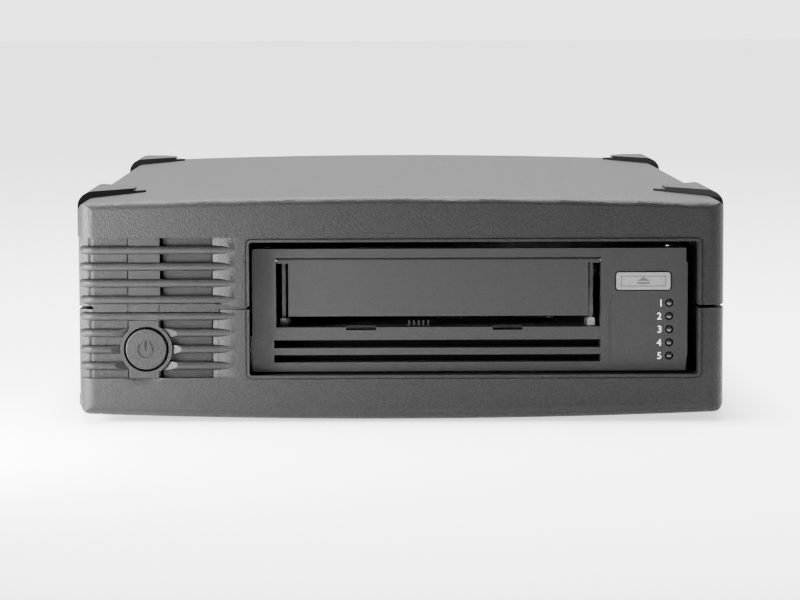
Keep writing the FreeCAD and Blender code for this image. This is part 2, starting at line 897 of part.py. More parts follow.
# ---- power button group ----
def power_button():
    """Domed cap with a skirt and a stem; the stand-by sign is sunk in its face."""
    face = front_y + button_depth
    cap = rod(button_x, face, button_z, button_radius, cap_thickness, ALONG_Y)
    rim = [edge for edge in cap.Edges if len(edge.Vertexes) == 1 and abs(edge.Vertexes[0].Y - face) < 0.01]
    cap = cap.makeFillet(0.4, rim)
    hollow = rod(button_x, face + cap_skirt, button_z, button_radius - cap_skirt, cap_thickness, ALONG_Y)
    cap = cap.cut(hollow)
    stem_end = switch_y - button_travel - 0.2
    stem = rod(
        button_x, face + cap_skirt / 2, button_z, stem_radius, stem_end - face - cap_skirt / 2, ALONG_Y,
    )
    sign_depth = 0.35
    sign_ring = tube(button_x, face - 1, button_z, 2.9, 2.05, 1 + sign_depth, ALONG_Y)
    sign_ring = sign_ring.cut(
        block(button_x - 1.3, button_x + 1.3, face - 1, face + 1, button_z, button_z + 4)
    )
    sign_bar = rounded_block(
        button_x - 0.42, button_x + 0.42, face - 1, face + sign_depth, button_z - 0.3, button_z + 3.2, 0.2
    )
    return cap.fuse(stem).cut([sign_ring, sign_bar])


switch_depth = 6.0
switch_y = switch_board_y - switch_depth


def power_switch():
    body = rounded_block(
        button_x - 5, button_x + 5, switch_y, switch_board_y, button_z - 5, button_z + 5, 0.8,
    )
    plunger = rod(button_x, switch_y - 0.2, button_z, 1.7, 1.2, ALONG_Y)
    legs = [
        block(button_x + dx - 0.4, button_x + dx + 0.4, switch_board_y - 0.1,
              switch_board_y + board_thickness + 1.2,
              button_z + dz - 0.4, button_z + dz + 0.4)
        for dx in (-3, 3) for dz in (-3, 3)
    ]
    return joined([body, plunger] + legs)


def switch_board():
    x0 = button_x - switch_board_width / 2
    board = block(
        x0, x0 + switch_board_width, switch_board_y, switch_board_y + board_thickness,
        switch_board_low, switch_board_low + switch_board_height,
    )
    holes = [
        rod(
            button_x + dx, switch_board_y - 1, button_z + dz, 0.75, 4, ALONG_Y,
        ) for dx in (-3, 3) for dz in (-3, 3)
    ]
    return board.cut(holes)


def case_screws():
    screws = []
    for x, y in screw_places:
        head = rod(x, y, screw_seat_z - screw_head_height, screw_head_radius, screw_head_height)
        shank = rod(x, y, screw_seat_z - 0.1, screw_radius, screw_length)
        cross = [
            block(
                x - 1.5, x + 1.5, y - 0.3, y + 0.3, screw_seat_z - screw_head_height - 1,
                screw_seat_z - screw_head_height + 1,
            ),
            block(
                x - 0.3, x + 0.3, y - 1.5, y + 1.5, screw_seat_z - screw_head_height - 1,
                screw_seat_z - screw_head_height + 1,
            ),
        ]
        screws.append(head.fuse(shank).removeSplitter().cut(cross))
    return Part.makeCompound(screws)


# ---- drive bezel, door, button and lamps ----
def drive_bezel():
    right = face_left + face_width
    body = rounded_block(face_left, right, face_y, bezel_back, face_low, face_top, 0.8)
    cuts = [
        block(across(slot_left), across(slot_left + slot_width), face_y - 1, bezel_back + 1,
              down(slot_top + slot_height), down(slot_top)),
        rod(across(slot_left) - door_pin_seat, behind(door_axis_depth), door_axis_z, door_pin_radius,
            slot_width + 2 * door_pin_seat, ALONG_X),
    ]
    for side in (-1, 1):
        middle = slot_x - sill_notch_shift + side * sill_notch_offset
        cuts.append(
            block(middle - sill_notch_width / 2, middle + sill_notch_width / 2, face_y - 1, bezel_back + 1,
                  down(slot_top + slot_height + sill_notch_depth), down(slot_top + slot_height - 1))
        )
    for v, height in zip(vent_tops, vent_heights):
        cuts.append(
            block(
                across(vent_left), across(vent_left + vent_width), face_y - 1, bezel_back + 1,
                down(v + height), down(v),
            )
        )
    cuts.append(
        rounded_block(
            across(eject_left) - eject_gap, across(
                eject_left + eject_width
            ) + eject_gap, face_y - 1, bezel_back + 1,
            down(eject_top + eject_height) - eject_gap, down(eject_top) + eject_gap, 0.8 + eject_gap,
        )
    )
    for z in lens_heights():
        cuts.append(
            rod(across(lens_left), face_y - 1, z, lens_radius + lens_rim, bezel_thickness + 2, ALONG_Y)
        )
    panel_front = face_y - panel_proud
    panel = block(across(panel_line), right, panel_front, face_y + 1, face_low, face_top)
    cuts.append(
        rounded_block(
            across(panel_line) + field_left, right - field_right, panel_front - 1,
            panel_front + field_depth,
            down(field_low), down(field_top), field_corner,
        )
    )
    for low, high in (
        (down(edge_step_height), face_top + 1), (face_low - 1, down(face_height - edge_step_height)),
    ):
        cuts.append(block(right - edge_step, right + 1, panel_front - 1, bezel_back + 1, low, high))
    body = body.fuse(panel)
    return body.cut(cuts)


def lens_heights():
    return [down(lens_top + i * lens_pitch) for i in range(lens_count)]


door_axis_z = down(slot_top + door_gap + door_thickness / 2)
door_axis_depth = door_set_back + door_thickness / 2


def cartridge_door():
    """Flap hung at its rounded top edge; it swings in and lies flat under the lid."""
    left = across(slot_left) + door_side_gap
    right = across(slot_left + slot_width) - door_side_gap
    front = behind(door_set_back)
    back = front + door_thickness
    strip_low = down(slot_top + door_gap + door_strip)
    door_low = down(slot_top + door_gap + door_height)
    strip = block(left, right, front, back, strip_low, door_axis_z)
    edge = rod(left, behind(door_axis_depth), door_axis_z, door_thickness / 2, right - left, ALONG_X)
    notch = door_notch - door_side_gap
    leaf = block(left + notch, right - notch, front, back, door_low, door_axis_z)
    bore = rod(
        left - 1, behind(door_axis_depth), door_axis_z, door_pin_radius + door_pin_fit, right - left + 2,
        ALONG_X,
    )
    return joined([strip, edge, leaf]).cut(bore)


def door_pin():
    return rod(across(slot_left) - door_pin_seat, behind(door_axis_depth), door_axis_z, door_pin_radius,
               slot_width + 2 * door_pin_seat, ALONG_X)


eject_switch_depth = 3.0
eject_board_y = bezel_back + 5.0


def eject_button():
    """Flat key with a fine frame and the usual raised sign, and a stem to its switch."""
    x0 = across(eject_left)
    x1 = across(eject_left + eject_width)
    z0 = down(eject_top + eject_height)
    z1 = down(eject_top)
    front = face_y - eject_proud
    cap_back = face_y + 2.4
    cap = rounded_block(x0, x1, front, cap_back, z0, z1, 0.8)
    hollow = block(x0 + 1.2, x1 - 1.2, face_y + 0.8, cap_back + 1, z0 + 1.2, z1 - 1.2)
    middle_x = (x0 + x1) / 2
    middle_z = (z0 + z1) / 2
    stem_end = eject_board_y - eject_switch_depth - eject_travel - 0.15
    stem = rod(middle_x, face_y, middle_z, eject_stem_radius, stem_end - face_y, ALONG_Y)
    groove = 0.3
    frame = block(x0 + 1.5, x1 - 1.5, front - 1, front + groove, z0 + 1.1, z1 - 1.1)
    frame = frame.cut(block(x0 + 1.5 + groove, x1 - 1.5 - groove, front - 1, front + groove,
                            z0 + 1.1 + groove, z1 - 1.1 - groove))
    arrow = Part.Face(Part.makePolygon([
        Vec(middle_x - 2.2, front - 1, middle_z + 0.05),
        Vec(middle_x, front - 1, middle_z + 1.35),
        Vec(middle_x + 2.2, front - 1, middle_z + 0.05),
        Vec(middle_x - 2.2, front - 1, middle_z + 0.05),
    ])).extrude(Vec(0, 1 + groove, 0))
    bar = block(middle_x - 2.2, middle_x + 2.2, front - 1, front + groove, middle_z - 0.95, middle_z - 0.35)
    return cap.cut(hollow).fuse(stem).cut([frame, arrow, bar])


def indicator_lenses():
    lenses = []
    x = across(lens_left)
    tip = face_y - lens_proud
    sphere_radius = (lens_radius**2 + lens_crown**2) / (2 * lens_crown)
    stem_length = eject_board_y - lamp_height - tip
    for z in lens_heights():
        stem = rod(x, tip, z, lens_radius, stem_length, ALONG_Y)
        ball = Part.makeSphere(sphere_radius, Vec(x, tip + sphere_radius, z))
        front = stem.common(ball)
        back = rod(x, tip + lens_crown, z, lens_radius, stem_length - lens_crown, ALONG_Y)
        lenses.append(front.fuse(back).removeSplitter())
    return Part.makeCompound(lenses)


board_left = across(eject_left) - 1.0


def indicator_board():
    """Upright board behind the control panel, with the eject switch and five lamps."""
    x1 = chassis_right - chassis_side - 0.3
    z0 = lens_heights()[-1] - 2.5
    board = block(
        board_left, x1, eject_board_y, eject_board_y + board_thickness, z0,
        chassis_top - lid_thickness - 1.0,
    )
    middle_x = across(eject_left + eject_width / 2)
    middle_z = down(eject_top + eject_height / 2)
    switch = block(
        middle_x - 3, middle_x + 3, eject_board_y - eject_switch_depth, eject_board_y, middle_z - 2.6,
        middle_z + 2.6,
    )
    lamps = [
        block(
            across(lens_left) - 0.9, across(lens_left) + 0.9, eject_board_y - lamp_height + 0.1,
            eject_board_y, z - 0.6, z + 0.6,
        )
        for z in lens_heights()
    ]
    return joined([board, switch] + lamps)


# ---- chassis ----
def loader_places():
    """Middles of the loader gear and of the motor pinion."""
    rack_x = slot_x + cartridge_width / 2 + cartridge_gap + tray_wall + 1.25 * gear_module
    gear_x = rack_x + gear_module * gear_teeth / 2 + backlash / 2
    gear_y = behind(gear_place)
    pinion_y = gear_y + gear_module * (gear_teeth + pinion_teeth) / 2 + backlash / 2
    return rack_x, (gear_x, gear_y), (gear_x, pinion_y)


def roller_places():
    centre_x = drive_x + path_offset
    centre_y = behind(reel_place)
    places = []
    for angle in roller_angles:
        turn = math.radians(180 - angle)
        places.append((centre_x + path_radius * math.cos(turn), centre_y + path_radius * math.sin(turn)))
    return places


def reel_centre():
    return drive_x + reel_offset, behind(reel_place)


def hub_centre():
    return slot_x, behind(hub_place)


def chassis():
    """Cast frame: two side walls, a rear wall, a deck, and the posts that the moving parts turn on."""
    sides = [
        block(
            chassis_left, chassis_left + chassis_side, bezel_back, chassis_rear, chassis_low,
            chassis_top - lid_thickness,
        ),
        block(
            chassis_right - chassis_side, chassis_right, bezel_back, chassis_rear, chassis_low,
            chassis_top - lid_thickness,
        ),
        block(
            chassis_left, chassis_right, chassis_rear - chassis_side, chassis_rear, chassis_low,
            chassis_top - lid_thickness,
        ),
    ]
    deck_front = bezel_back + deck_set_back
    deck = block(chassis_left, chassis_right, deck_front, chassis_rear, deck_z - deck_thickness, deck_z)
    posts = [rod(x, y, deck_z - 0.5, shaft_radius, roller_height + 1.5) for x, y in roller_places()]
    seats = [rod(x, y, deck_z - 0.5, roller_radius - 1.0, 1.0) for x, y in roller_places()]
    _, (gear_x, gear_y), _ = loader_places()
    gear_post = rod(gear_x, gear_y, deck_z - 0.5, gear_post_radius, gear_lift + gear_thickness + 1.3)
    gear_seat = rod(gear_x, gear_y, deck_z - 0.5, gear_post_radius + 1.5, gear_lift + 0.4)
    rails = []
    rail_low = down(tray_floor_drop + tray_floor) - tray_rail_gap
    for side in (-1, 1):
        x = slot_x + side * (cartridge_width / 2 - 6.0)
        rails.append(block(x - 2, x + 2, deck_front, behind(tray_start + tray_length + tray_travel),
                           deck_z - 0.5, rail_low))
    body = joined(sides + [deck] + posts + seats + [gear_post, gear_seat] + rails)
    rear_cut = block(
        drive_x - connector_width / 2 - 0.3, drive_x + connector_width / 2 + 0.3,
        chassis_rear - chassis_side - 1, chassis_rear + 1,
        chassis_low - 1, deck_z - deck_thickness - 0.3,
    )
    pattern = []
    for i in range(vent_row_count):
        y = bezel_back + 40.0 + i * 12.0
        for x in (chassis_left - 1, chassis_right - chassis_side - 1):
            pattern.append(rounded_block(x, x + chassis_side + 2, y, y + 7.0, deck_z + 6.0, deck_z + 9.0,
                                         1.4, axis="x"))
    return body.cut(
        [rear_cut] + pattern + [side_hole(side, y) for side in (-1, 1) for y in side_screw_places()]
    )


tray_rail_gap = 0.1
vent_row_count = 8
connector_width = 52.0
side_screw_radius = 1.5
side_screw_height = 6.0


def side_screw_places():
    return (bezel_back + 50.0, chassis_rear - 50.0)


def side_hole(side, y):
    x = chassis_left if side < 0 else chassis_right
    return rod(x - side * 5, y, chassis_low + side_screw_height, side_screw_radius, 10.0, Vec(side, 0, 0))


def chassis_lid():
    """Thin lid with a turned-down rim at its sides and a pressed shallow dome over the reel."""
    z0 = chassis_top - lid_thickness
    lid = block(chassis_left, chassis_right, bezel_back, chassis_rear, z0, chassis_top)
    notch = block(slot_x - 30, slot_x + 30, bezel_back - 1, bezel_back + 6, z0 - 1, chassis_top + 1)
    vents = []
    for i in range(6):
        y = behind(110.0) + i * 10.0
        vents.append(rounded_block(chassis_left + 8, chassis_left + 26, y, y + 3.0, z0 - 1,
                                   chassis_top + 1, 1.4, axis="z"))
    return lid.cut([notch] + vents)


def lid_screws():
    screws = []
    for x in (chassis_left + 1.0 + 3.0, chassis_right - 4.0):
        for y in (bezel_back + 8.0, chassis_rear - 8.0):
            screws.append(rod(x, y, chassis_top, 2.4, 0.25))
    return Part.makeCompound(screws)


def drive_board():
    """Main board under the deck, with its larger chips and the rear connector's edge."""
    top = deck_z - deck_thickness - 1.6
    x0 = chassis_left + chassis_side + 0.4
    x1 = chassis_right - chassis_side - 0.4
    board = block(x0, x1, bezel_back + 9.0, chassis_rear - 8.0, top - board_thickness, top)
    chips = []
    for i, (dx, dy, size) in enumerate(
        ((-30, 60, 24), (10, 80, 30), (38, 40, 16), (-12, 120, 18), (34, 130, 20))
    ):
        chips.append(block(drive_x + dx - size / 2, drive_x + dx + size / 2, bezel_back + dy,
                           bezel_back + dy + size, top - 0.1, top + 1.1))
    return joined([board] + chips)


def drive_connector():
    """Rear plug block: signal tongue and power tongue in one moulded shroud."""
    z0 = chassis_low + 0.3
    z1 = deck_z - deck_thickness - 0.8
    y0 = chassis_rear - 7.5
    y1 = chassis_rear + 3.0
    body = rounded_block(drive_x - connector_width / 2, drive_x + connector_width / 2, y0, y1, z0, z1, 0.6)
    pocket = rounded_block(
        drive_x - connector_width / 2 + 1.2, drive_x + connector_width / 2 - 1.2, y1 - 6.0, y1 + 1,
        z0 + 1.0, z1 - 1.0, 0.5,
    )
    tongue = block(
        drive_x - connector_width / 2 + 5, drive_x + connector_width / 2 - 5, y1 - 7.0, y1 - 1.0,
        (z0 + z1) / 2 - 0.5, (z0 + z1) / 2 + 0.5,
    )
    return body.cut(pocket).fuse(tongue)


# ---- tray and loader ----
def cartridge_tray():
    """Open carriage: floor with a long window for the hub, two walls, a rack and two front posts."""
    half = cartridge_width / 2 + cartridge_gap
    y0 = behind(tray_start)
    y1 = y0 + tray_length
    z0 = down(tray_floor_drop + tray_floor)
    z1 = down(tray_floor_drop)
    wall_top = z1 + tray_wall_height
    floor = block(slot_x - half - tray_wall, slot_x + half + tray_wall, y0, y1, z0, z1)
    walls = []
    for side in (-1, 1):
        inner = slot_x + side * half
        outer = inner + side * tray_wall
        walls.append(block(min(inner, outer), max(inner, outer), y0, y1, z0, wall_top))
    posts = []
    for side in (-1, 1):
        inner = slot_x + side * (half + tray_wall)
        x0 = min(inner, inner - side * post_width)
        posts.append(rounded_block(x0, x0 + post_width, y0 - 2.2, y0 + 1.0, z0, z0 + post_height, 0.9))
        ledge = slot_x + side * (half - 7.0)
        posts.append(block(ledge - 2.6, ledge + 2.6, y0 - 1.6, y0 + 1.0, z0, z0 + 0.8))
    comb = []
    for i in range(5):
        x = slot_x - comb_left + i * comb_pitch
        comb.append(block(x, x + 0.7, y0 - 1.2, y0 + 1.0, z0, z1 + 1.8))
    comb.append(block(slot_x - comb_left - 0.5, slot_x - comb_left + 5 * comb_pitch, y0 - 0.4, y0 + 1.0,
                      z0, z1 + 0.4))
    window = rounded_block(
        slot_x - hub_radius - 3.0, slot_x + hub_radius + 3.0,
        behind(hub_place) - hub_radius - 3.0 - tray_travel, behind(hub_place) + hub_radius + 3.0,
        z0 - 1, z1 + 1, 6.0, axis="z",
    )
    lightening = []
    for side in (-1, 1):
        for i in range(3):
            y = y0 + 12.0 + i * 28.0
            x = slot_x + side * 33.0
            lightening.append(rounded_block(x - 8, x + 8, y, y + 20.0, z0 - 1, z1 + 1, 3.0, axis="z"))
    return joined([floor] + walls + posts + comb + [rack()]).cut([window] + lightening)


def rack():
    """Straight rack along the tray's right wall; its teeth point away from the cartridge."""
    rack_x, (_, gear_y), _ = loader_places()
    pitch = math.pi * gear_module
    slope = math.tan(math.radians(pressure_angle))
    wall_x = rack_x - 1.25 * gear_module
    tip_x = rack_x + gear_module
    half_pitch_width = pitch / 4 - backlash / 4
    travel_turns = tray_travel / pitch
    ahead = 4
    teeth = []
    z0 = deck_z + gear_lift
    first = -int(math.ceil(travel_turns)) - ahead
    for i in range(first, ahead + 1):
        y = gear_y + i * pitch
        root = half_pitch_width + 1.25 * gear_module * slope
        tip = half_pitch_width - gear_module * slope
        outline = [
            (wall_x - 0.3, -root), (wall_x, -root), (tip_x, -tip), (tip_x, tip), (wall_x, root),
            (wall_x - 0.3, root),
        ]
        points = [Vec(x, y + dy, z0) for x, dy in outline]
        teeth.append(Part.Face(Part.makePolygon(points + [points[0]])).extrude(Vec(0, 0, gear_thickness)))
    carrier_top = z0 + gear_thickness
    carrier = block(
        slot_x + cartridge_width / 2 + cartridge_gap, wall_x, gear_y + (first - 1) * pitch,
        gear_y + (ahead + 1) * pitch,
        down(tray_floor_drop), carrier_top,
    )
    return joined([carrier] + teeth)


def involute_gear(x, y, z, teeth, bore, height, turn=0.0):
    """Spur gear with involute flanks, drawn from the roll angle at a few radii."""
    pitch_radius = gear_module * teeth / 2
    base_radius = pitch_radius * math.cos(math.radians(pressure_angle))
    tip_radius = pitch_radius + gear_module
    root_radius = pitch_radius - 1.25 * gear_module
    start_radius = max(base_radius, root_radius + 0.02)

    def spread(radius):
        roll = math.acos(min(1.0, base_radius / radius))
        return math.tan(roll) - roll

    half_tooth = math.pi / (2 * teeth) - backlash / (4 * pitch_radius)
    steps = 4
    radii = [start_radius + (tip_radius - start_radius) * i / steps for i in range(steps + 1)]
    points = []
    for tooth in range(teeth):
        middle = math.radians(turn) + 2 * math.pi * tooth / teeth
        flank = [(r, half_tooth + spread(pitch_radius) - spread(r)) for r in radii]
        right = [(root_radius, flank[0][1])] + flank
        for radius, angle in right:
            points.append((radius, middle - angle))
        for radius, angle in reversed(right):
            points.append((radius, middle + angle))
    corners = [Vec(x + r * math.cos(a), y + r * math.sin(a), z) for r, a in points]
    face = Part.Face(Part.makePolygon(corners + [corners[0]]))
    gear = face.extrude(Vec(0, 0, height))
    return gear.cut(rod(x, y, z - 1, bore, height + 2))


def loader_gear():
    _, (x, y), _ = loader_places()
    z = deck_z + gear_lift
    turn = 180.0 + 180.0 / gear_teeth
    gear = involute_gear(x, y, z, gear_teeth, gear_post_radius + gear_fit, gear_thickness, turn)
    holes = []
    for i in range(4):
        angle = math.radians(45 + 90 * i)
        holes.append(
            rod(x + 4.0 * math.cos(angle), y + 4.0 * math.sin(angle), z - 1, 1.0, gear_thickness + 2)
        )
    return gear.cut(holes)


def motor_pinion():
    """Pinion on the motor shaft; a tooth of it meets a gap of the gear above it."""
    _, _, (x, y) = loader_places()
    z = deck_z + gear_lift
    above_gear = (90.0 - (180.0 + 180.0 / gear_teeth)) / (360.0 / gear_teeth)
    into_gap = above_gear - math.floor(above_gear)
    turn = -90.0 + (into_gap - 0.5) * 360.0 / pinion_teeth
    gear = involute_gear(x, y, z, pinion_teeth, shaft_radius / 2, gear_thickness, turn)
    shaft = rod(x, y, z - 1.4, shaft_radius / 2, gear_thickness + 1.4)
    return gear.fuse(shaft)


def loader_motor():
    _, _, (x, y) = loader_places()
    height = gear_lift - 1.2
    body = rod(x, y, deck_z, motor_radius, height)
    flat = block(
        x - motor_radius, x + motor_radius, y + motor_radius * 0.8, y + motor_radius + 1, deck_z - 1,
        deck_z + height + 1,
    )
    boss = rod(x, y, deck_z + height - 0.1, 1.6, 0.6)
    bore = rod(x, y, deck_z + height - 3.0, shaft_radius / 2 + shaft_fit, 5.0)
    return joined([body.cut(flat), boss]).cut(bore)


# ---- hub and reel ----
def spindle_motor(x, y, radius, height):
    """Flat stator: a ring base with radial pole slots and a bore for the shaft."""
    base = rod(x, y, deck_z, radius, height)
    slots = []
    for i in range(9):
        slot = block(radius * 0.45, radius + 1, -0.5, 0.5, deck_z + height * 0.4, deck_z + height + 1)
        slot.rotate(Vec(0, 0, 0), ALONG_Z, 40.0 * i)
        slot.translate(Vec(x, y, 0))
        slots.append(slot)
    bore = rod(x, y, deck_z - 0.1, shaft_radius + shaft_fit, height + 1)
    return base.cut(slots + [bore])


motor_height = 1.8
motor_gap = 0.3
hub_plate = 1.2


def drive_hub():
    """Toothed clutch: a plate on a shaft, with a ring of face teeth that grip the cartridge reel."""
    x, y = hub_centre()
    z = deck_z + motor_height + motor_gap
    plate = rod(x, y, z, hub_radius, hub_plate)
    shaft = rod(x, y, deck_z + 0.1, shaft_radius, motor_height + motor_gap)
    ring = tube(x, y, z + hub_plate - 0.1, hub_radius, hub_radius - 3.0, 0.7)
    teeth = []
    for i in range(hub_face_teeth):
        tooth = Part.Face(Part.makePolygon([
            Vec(hub_radius - 2.8, -0.7, 0), Vec(hub_radius - 2.8, 0.7, 0), Vec(hub_radius - 2.8, 0, 1.0),
            Vec(
                hub_radius - 2.8, -0.7, 0,
            ),
        ])).extrude(Vec(2.6, 0, 0))
        tooth.translate(Vec(0, 0, z + hub_plate + 0.55))
        tooth.rotate(Vec(0, 0, 0), ALONG_Z, 360.0 / hub_face_teeth * i)
        tooth.translate(Vec(x, y, 0))
        teeth.append(tooth)
    cone = Part.makeCone(4.0, 2.0, 2.2, Vec(x, y, z + hub_plate - 0.1), ALONG_Z)
    return joined([plate, shaft, ring, cone] + teeth)


def take_up_reel():
    """Two flanges on a core, with spoke windows in the upper one and a slot for the leader pin."""
    x, y = reel_centre()
    z = deck_z + motor_height + motor_gap
    lower = rod(x, y, z, reel_radius, flange_thickness)
    core = rod(x, y, z, reel_core_radius, reel_height)
    upper = rod(x, y, z + reel_height - flange_thickness, reel_radius, flange_thickness)
    shaft = rod(x, y, deck_z + 0.1, shaft_radius, motor_height + motor_gap + 0.1)
    recess = rod(x, y, z + reel_height - 4.0, reel_core_radius - 4.0, 5.0)
    slot = block(
        x - reel_core_radius - 1, x - reel_core_radius + 6, y - 2.0, y + 2.0, z + flange_thickness,
        z + reel_height + 1,
    )
    windows = []
    for i in range(6):
        angle = math.radians(30 + 60 * i)
        middle = (reel_core_radius + reel_radius) / 2
        windows.append(
            rod(x + middle * math.cos(angle), y + middle * math.sin(angle), z + reel_height - 3, 4.0, 5.0)
        )
    return joined([lower, core, upper, shaft]).cut([recess, slot] + windows)


def guide_roller(x, y):
    """Flanged roller on its fixed post."""
    z = deck_z + 0.7
    body = rod(x, y, z, roller_radius - 0.7, roller_height)
    flanges = [rod(x, y, z, roller_radius, 0.8), rod(x, y, z + roller_height - 0.8, roller_radius, 0.8)]
    return joined([body] + flanges).cut(rod(x, y, z - 1, shaft_radius + shaft_fit, roller_height + 2))


head_length = 12.0
head_height = 9.0
head_rod_spacing = 7.0


def head_place():
    return drive_x + path_offset - path_radius, behind(reel_place)


def head_base():
    """Foot with two upright rods and a bridge across their tops."""
    x, y = head_place()
    foot = block(x - 7, x + 3, y - head_length / 2, y + head_length / 2, deck_z, deck_z + 3.0)
    rods = [
        rod(
            x - 4, y + side * head_rod_spacing / 2, deck_z + 2.5, head_rod_radius,
            head_height + 2 * head_travel + 4.5,
        )
        for side in (-1, 1)
    ]
    top = deck_z + 3.0 + head_height + 2 * head_travel + 2.4
    bridge = block(x - 6, x - 2, y - head_length / 2, y + head_length / 2, top, top + 1.6)
    return joined([foot] + rods + [bridge])


def head_carriage():
    """Recording head on a carriage that rides up and down the two rods."""
    x, y = head_place()
    z = deck_z + 3.0 + head_travel + 1.0
    slide = block(x - 5.5, x - 2.5, y - head_length / 2, y + head_length / 2, z, z + head_height)
    block_ = block(x - 3.0, x + 2.0, y - 4.0, y + 4.0, z, z + head_height)
    nose = rod(x + 1.0, y, z, 2.4, head_height)
    holes = [
        rod(
            x - 4, y + side * head_rod_spacing / 2, z - 1, head_rod_radius + 0.05, head_height + 2,
        ) for side in (-1, 1)
    ]
    return joined([slide, block_, nose]).cut(holes)


# ---- cradle, rear panel, fan, inlet and ports ----
cradle_window_place = 34.0
cradle_window_pitch = 45.0
cradle_window_length = 30.0
cradle_window_width = 90.0
cradle_window_corner = 4.0


def drive_cradle():
    """Folded sheet channel under the drive, with side flanges screwed to the chassis."""
    gap = cradle_gap
    y0 = bezel_back + 8.0
    y1 = chassis_rear - 6.0
    x0 = chassis_left - gap - cradle_thickness
    x1 = chassis_right + gap + cradle_thickness
    outer = rounded_block(x0, x1, y0, y1, cradle_low, cradle_low + 2 * cradle_flange, 1.6)
    outer = outer.cut(block(x0 - 1, x1 + 1, y0 - 1, y1 + 1, cradle_low + cradle_flange, top_z))
    room = block(
        x0 + cradle_thickness, x1 - cradle_thickness, y0 - 1, y1 + 1, cradle_low + cradle_thickness, top_z,
    )
    windows = []
    for i in range(3):
        y = y0 + cradle_window_place + i * cradle_window_pitch
        windows.append(
            rounded_block(
                drive_x - cradle_window_width / 2, drive_x + cradle_window_width / 2, y,
                y + cradle_window_length,
                cradle_low - 1, cradle_low + 2, cradle_window_corner, axis="z",
            )
        )
    holes = [rod(x, y, cradle_low - 1, 1.6, 4.0) for x, y in cradle_places()]
    holes += [side_hole(side, y) for side in (-1, 1) for y in side_screw_places()]
    return outer.cut([room] + windows + holes)


def cradle_screws():
    screws = []
    for x, y in cradle_places():
        top = cradle_low + cradle_thickness
        head = rod(x, y, top, 2.2, 0.9)
        screws.append(head.fuse(rod(x, y, cradle_low - 4.5, 1.2, top - cradle_low + 4.6)).removeSplitter())
    for side in (-1, 1):
        x = chassis_left if side < 0 else chassis_right
        face_x = x + side * (cradle_gap + cradle_thickness)
        for y in side_screw_places():
            z = chassis_low + side_screw_height
            head = rod(face_x, y, z, 2.6, 1.4, Vec(side, 0, 0))
            shank = rod(face_x + side * 0.2, y, z, side_screw_radius - 0.1, 4.0, Vec(-side, 0, 0))
            screws.append(head.fuse(shank).removeSplitter())
    return Part.makeCompound(screws)


def rear_panel():
    """Sheet panel held between the covers' rails, with a stamped finger guard and cut-outs."""
    outline = crowned_bar(wall + panel_gap)
    panel = outline.common(block(-half_width, half_width, panel_y, panel_y + panel_thickness, 0, top_z + 1))
    cuts = []
    centre_z = parting_z
    bar_half = 1.1
    rings = 4
    ring_step = rotor_radius / rings
    guard = None
    for i in range(1, rings + 1):
        outer = ring_step * i + 0.6
        inner = outer - ring_step + 1.7
        ring = tube(fan_x, panel_y - 1, centre_z, outer, inner, panel_thickness + 2, ALONG_Y)
        guard = ring if guard is None else guard.fuse(ring)
    spokes = []
    for angle in (45, 135):
        spoke = block(-fan_size / 2, fan_size / 2, panel_y - 2, panel_y + 3, -bar_half, bar_half)
        spoke.rotate(Vec(0, 0, 0), ALONG_Y, angle)
        spoke.translate(Vec(fan_x, 0, centre_z))
        spokes.append(spoke)
    cuts.append(guard.cut(spokes))
    cuts += [rod(x, panel_y - 1, z, 1.8, panel_thickness + 2, ALONG_Y) for x, z in fan_screw_places()]
    cuts.append(
        rounded_block(inlet_x - inlet_width / 2 - 0.3, inlet_x + inlet_width / 2 + 0.3, panel_y - 1,
                      panel_y + panel_thickness + 1,
                      parting_z - inlet_height / 2 - 0.3, parting_z + inlet_height / 2 + 0.3, 2.5)
    )
    cuts += [
        rod(x, panel_y - 1, parting_z, 1.6, panel_thickness + 2, ALONG_Y) for x in inlet_screw_places()
    ]
    for x in port_places():
        cuts.append(
            block(x - port_width / 2 - 0.2, x + port_width / 2 + 0.2, panel_y - 1,
                  panel_y + panel_thickness + 1,
                  port_low() - 0.2, port_low() + port_height + 0.2)
        )
    return panel.cut(cuts)


def fan_screw_places():
    half = fan_screw_spacing / 2
    return [(fan_x + i * half, parting_z + j * half) for i in (-1, 1) for j in (-1, 1)]


def inlet_screw_places():
    return [inlet_x - inlet_screw_spacing / 2, inlet_x + inlet_screw_spacing / 2]


def port_places():
    return [port_x - port_pitch / 2, port_x + port_pitch / 2]


def port_low():
    return parting_z - 16.0


fan_gap = 0.1
fan_front = panel_y - fan_gap - fan_depth


def fan_frame():
    """Square frame with a round duct, four corner tubes and a motor seat on three struts."""
    half = fan_size / 2
    body = rounded_block(
        fan_x - half, fan_x + half, fan_front, fan_front + fan_depth, parting_z - half, parting_z + half,
        fan_corner_radius,
    )
    duct = rod(fan_x, fan_front - 1, parting_z, rotor_radius + rotor_gap, fan_depth + 2, ALONG_Y)
    body = body.cut(
        [duct] + [rod(x, fan_front - 1, z, 1.9, fan_depth + 2, ALONG_Y) for x, z in fan_screw_places()]
    )
    seat = rod(fan_x, fan_front, parting_z, rotor_hub_radius, 2.0, ALONG_Y)
    struts = []
    for angle in (90, 210, 330):
        strut = block(0, rotor_radius + rotor_gap + 0.6, fan_front, fan_front + 2.0, -1.4, 1.4)
        strut.rotate(Vec(0, 0, 0), ALONG_Y, angle)
        strut.translate(Vec(fan_x, 0, parting_z))
        struts.append(strut)
    bush = rod(fan_x, fan_front + 1.5, parting_z, 3.5, 7.0, ALONG_Y)
    bore = rod(fan_x, fan_front + 1.0, parting_z, shaft_radius + shaft_fit, 9.0, ALONG_Y)
    return joined([body, seat, bush] + struts).cut(bore)


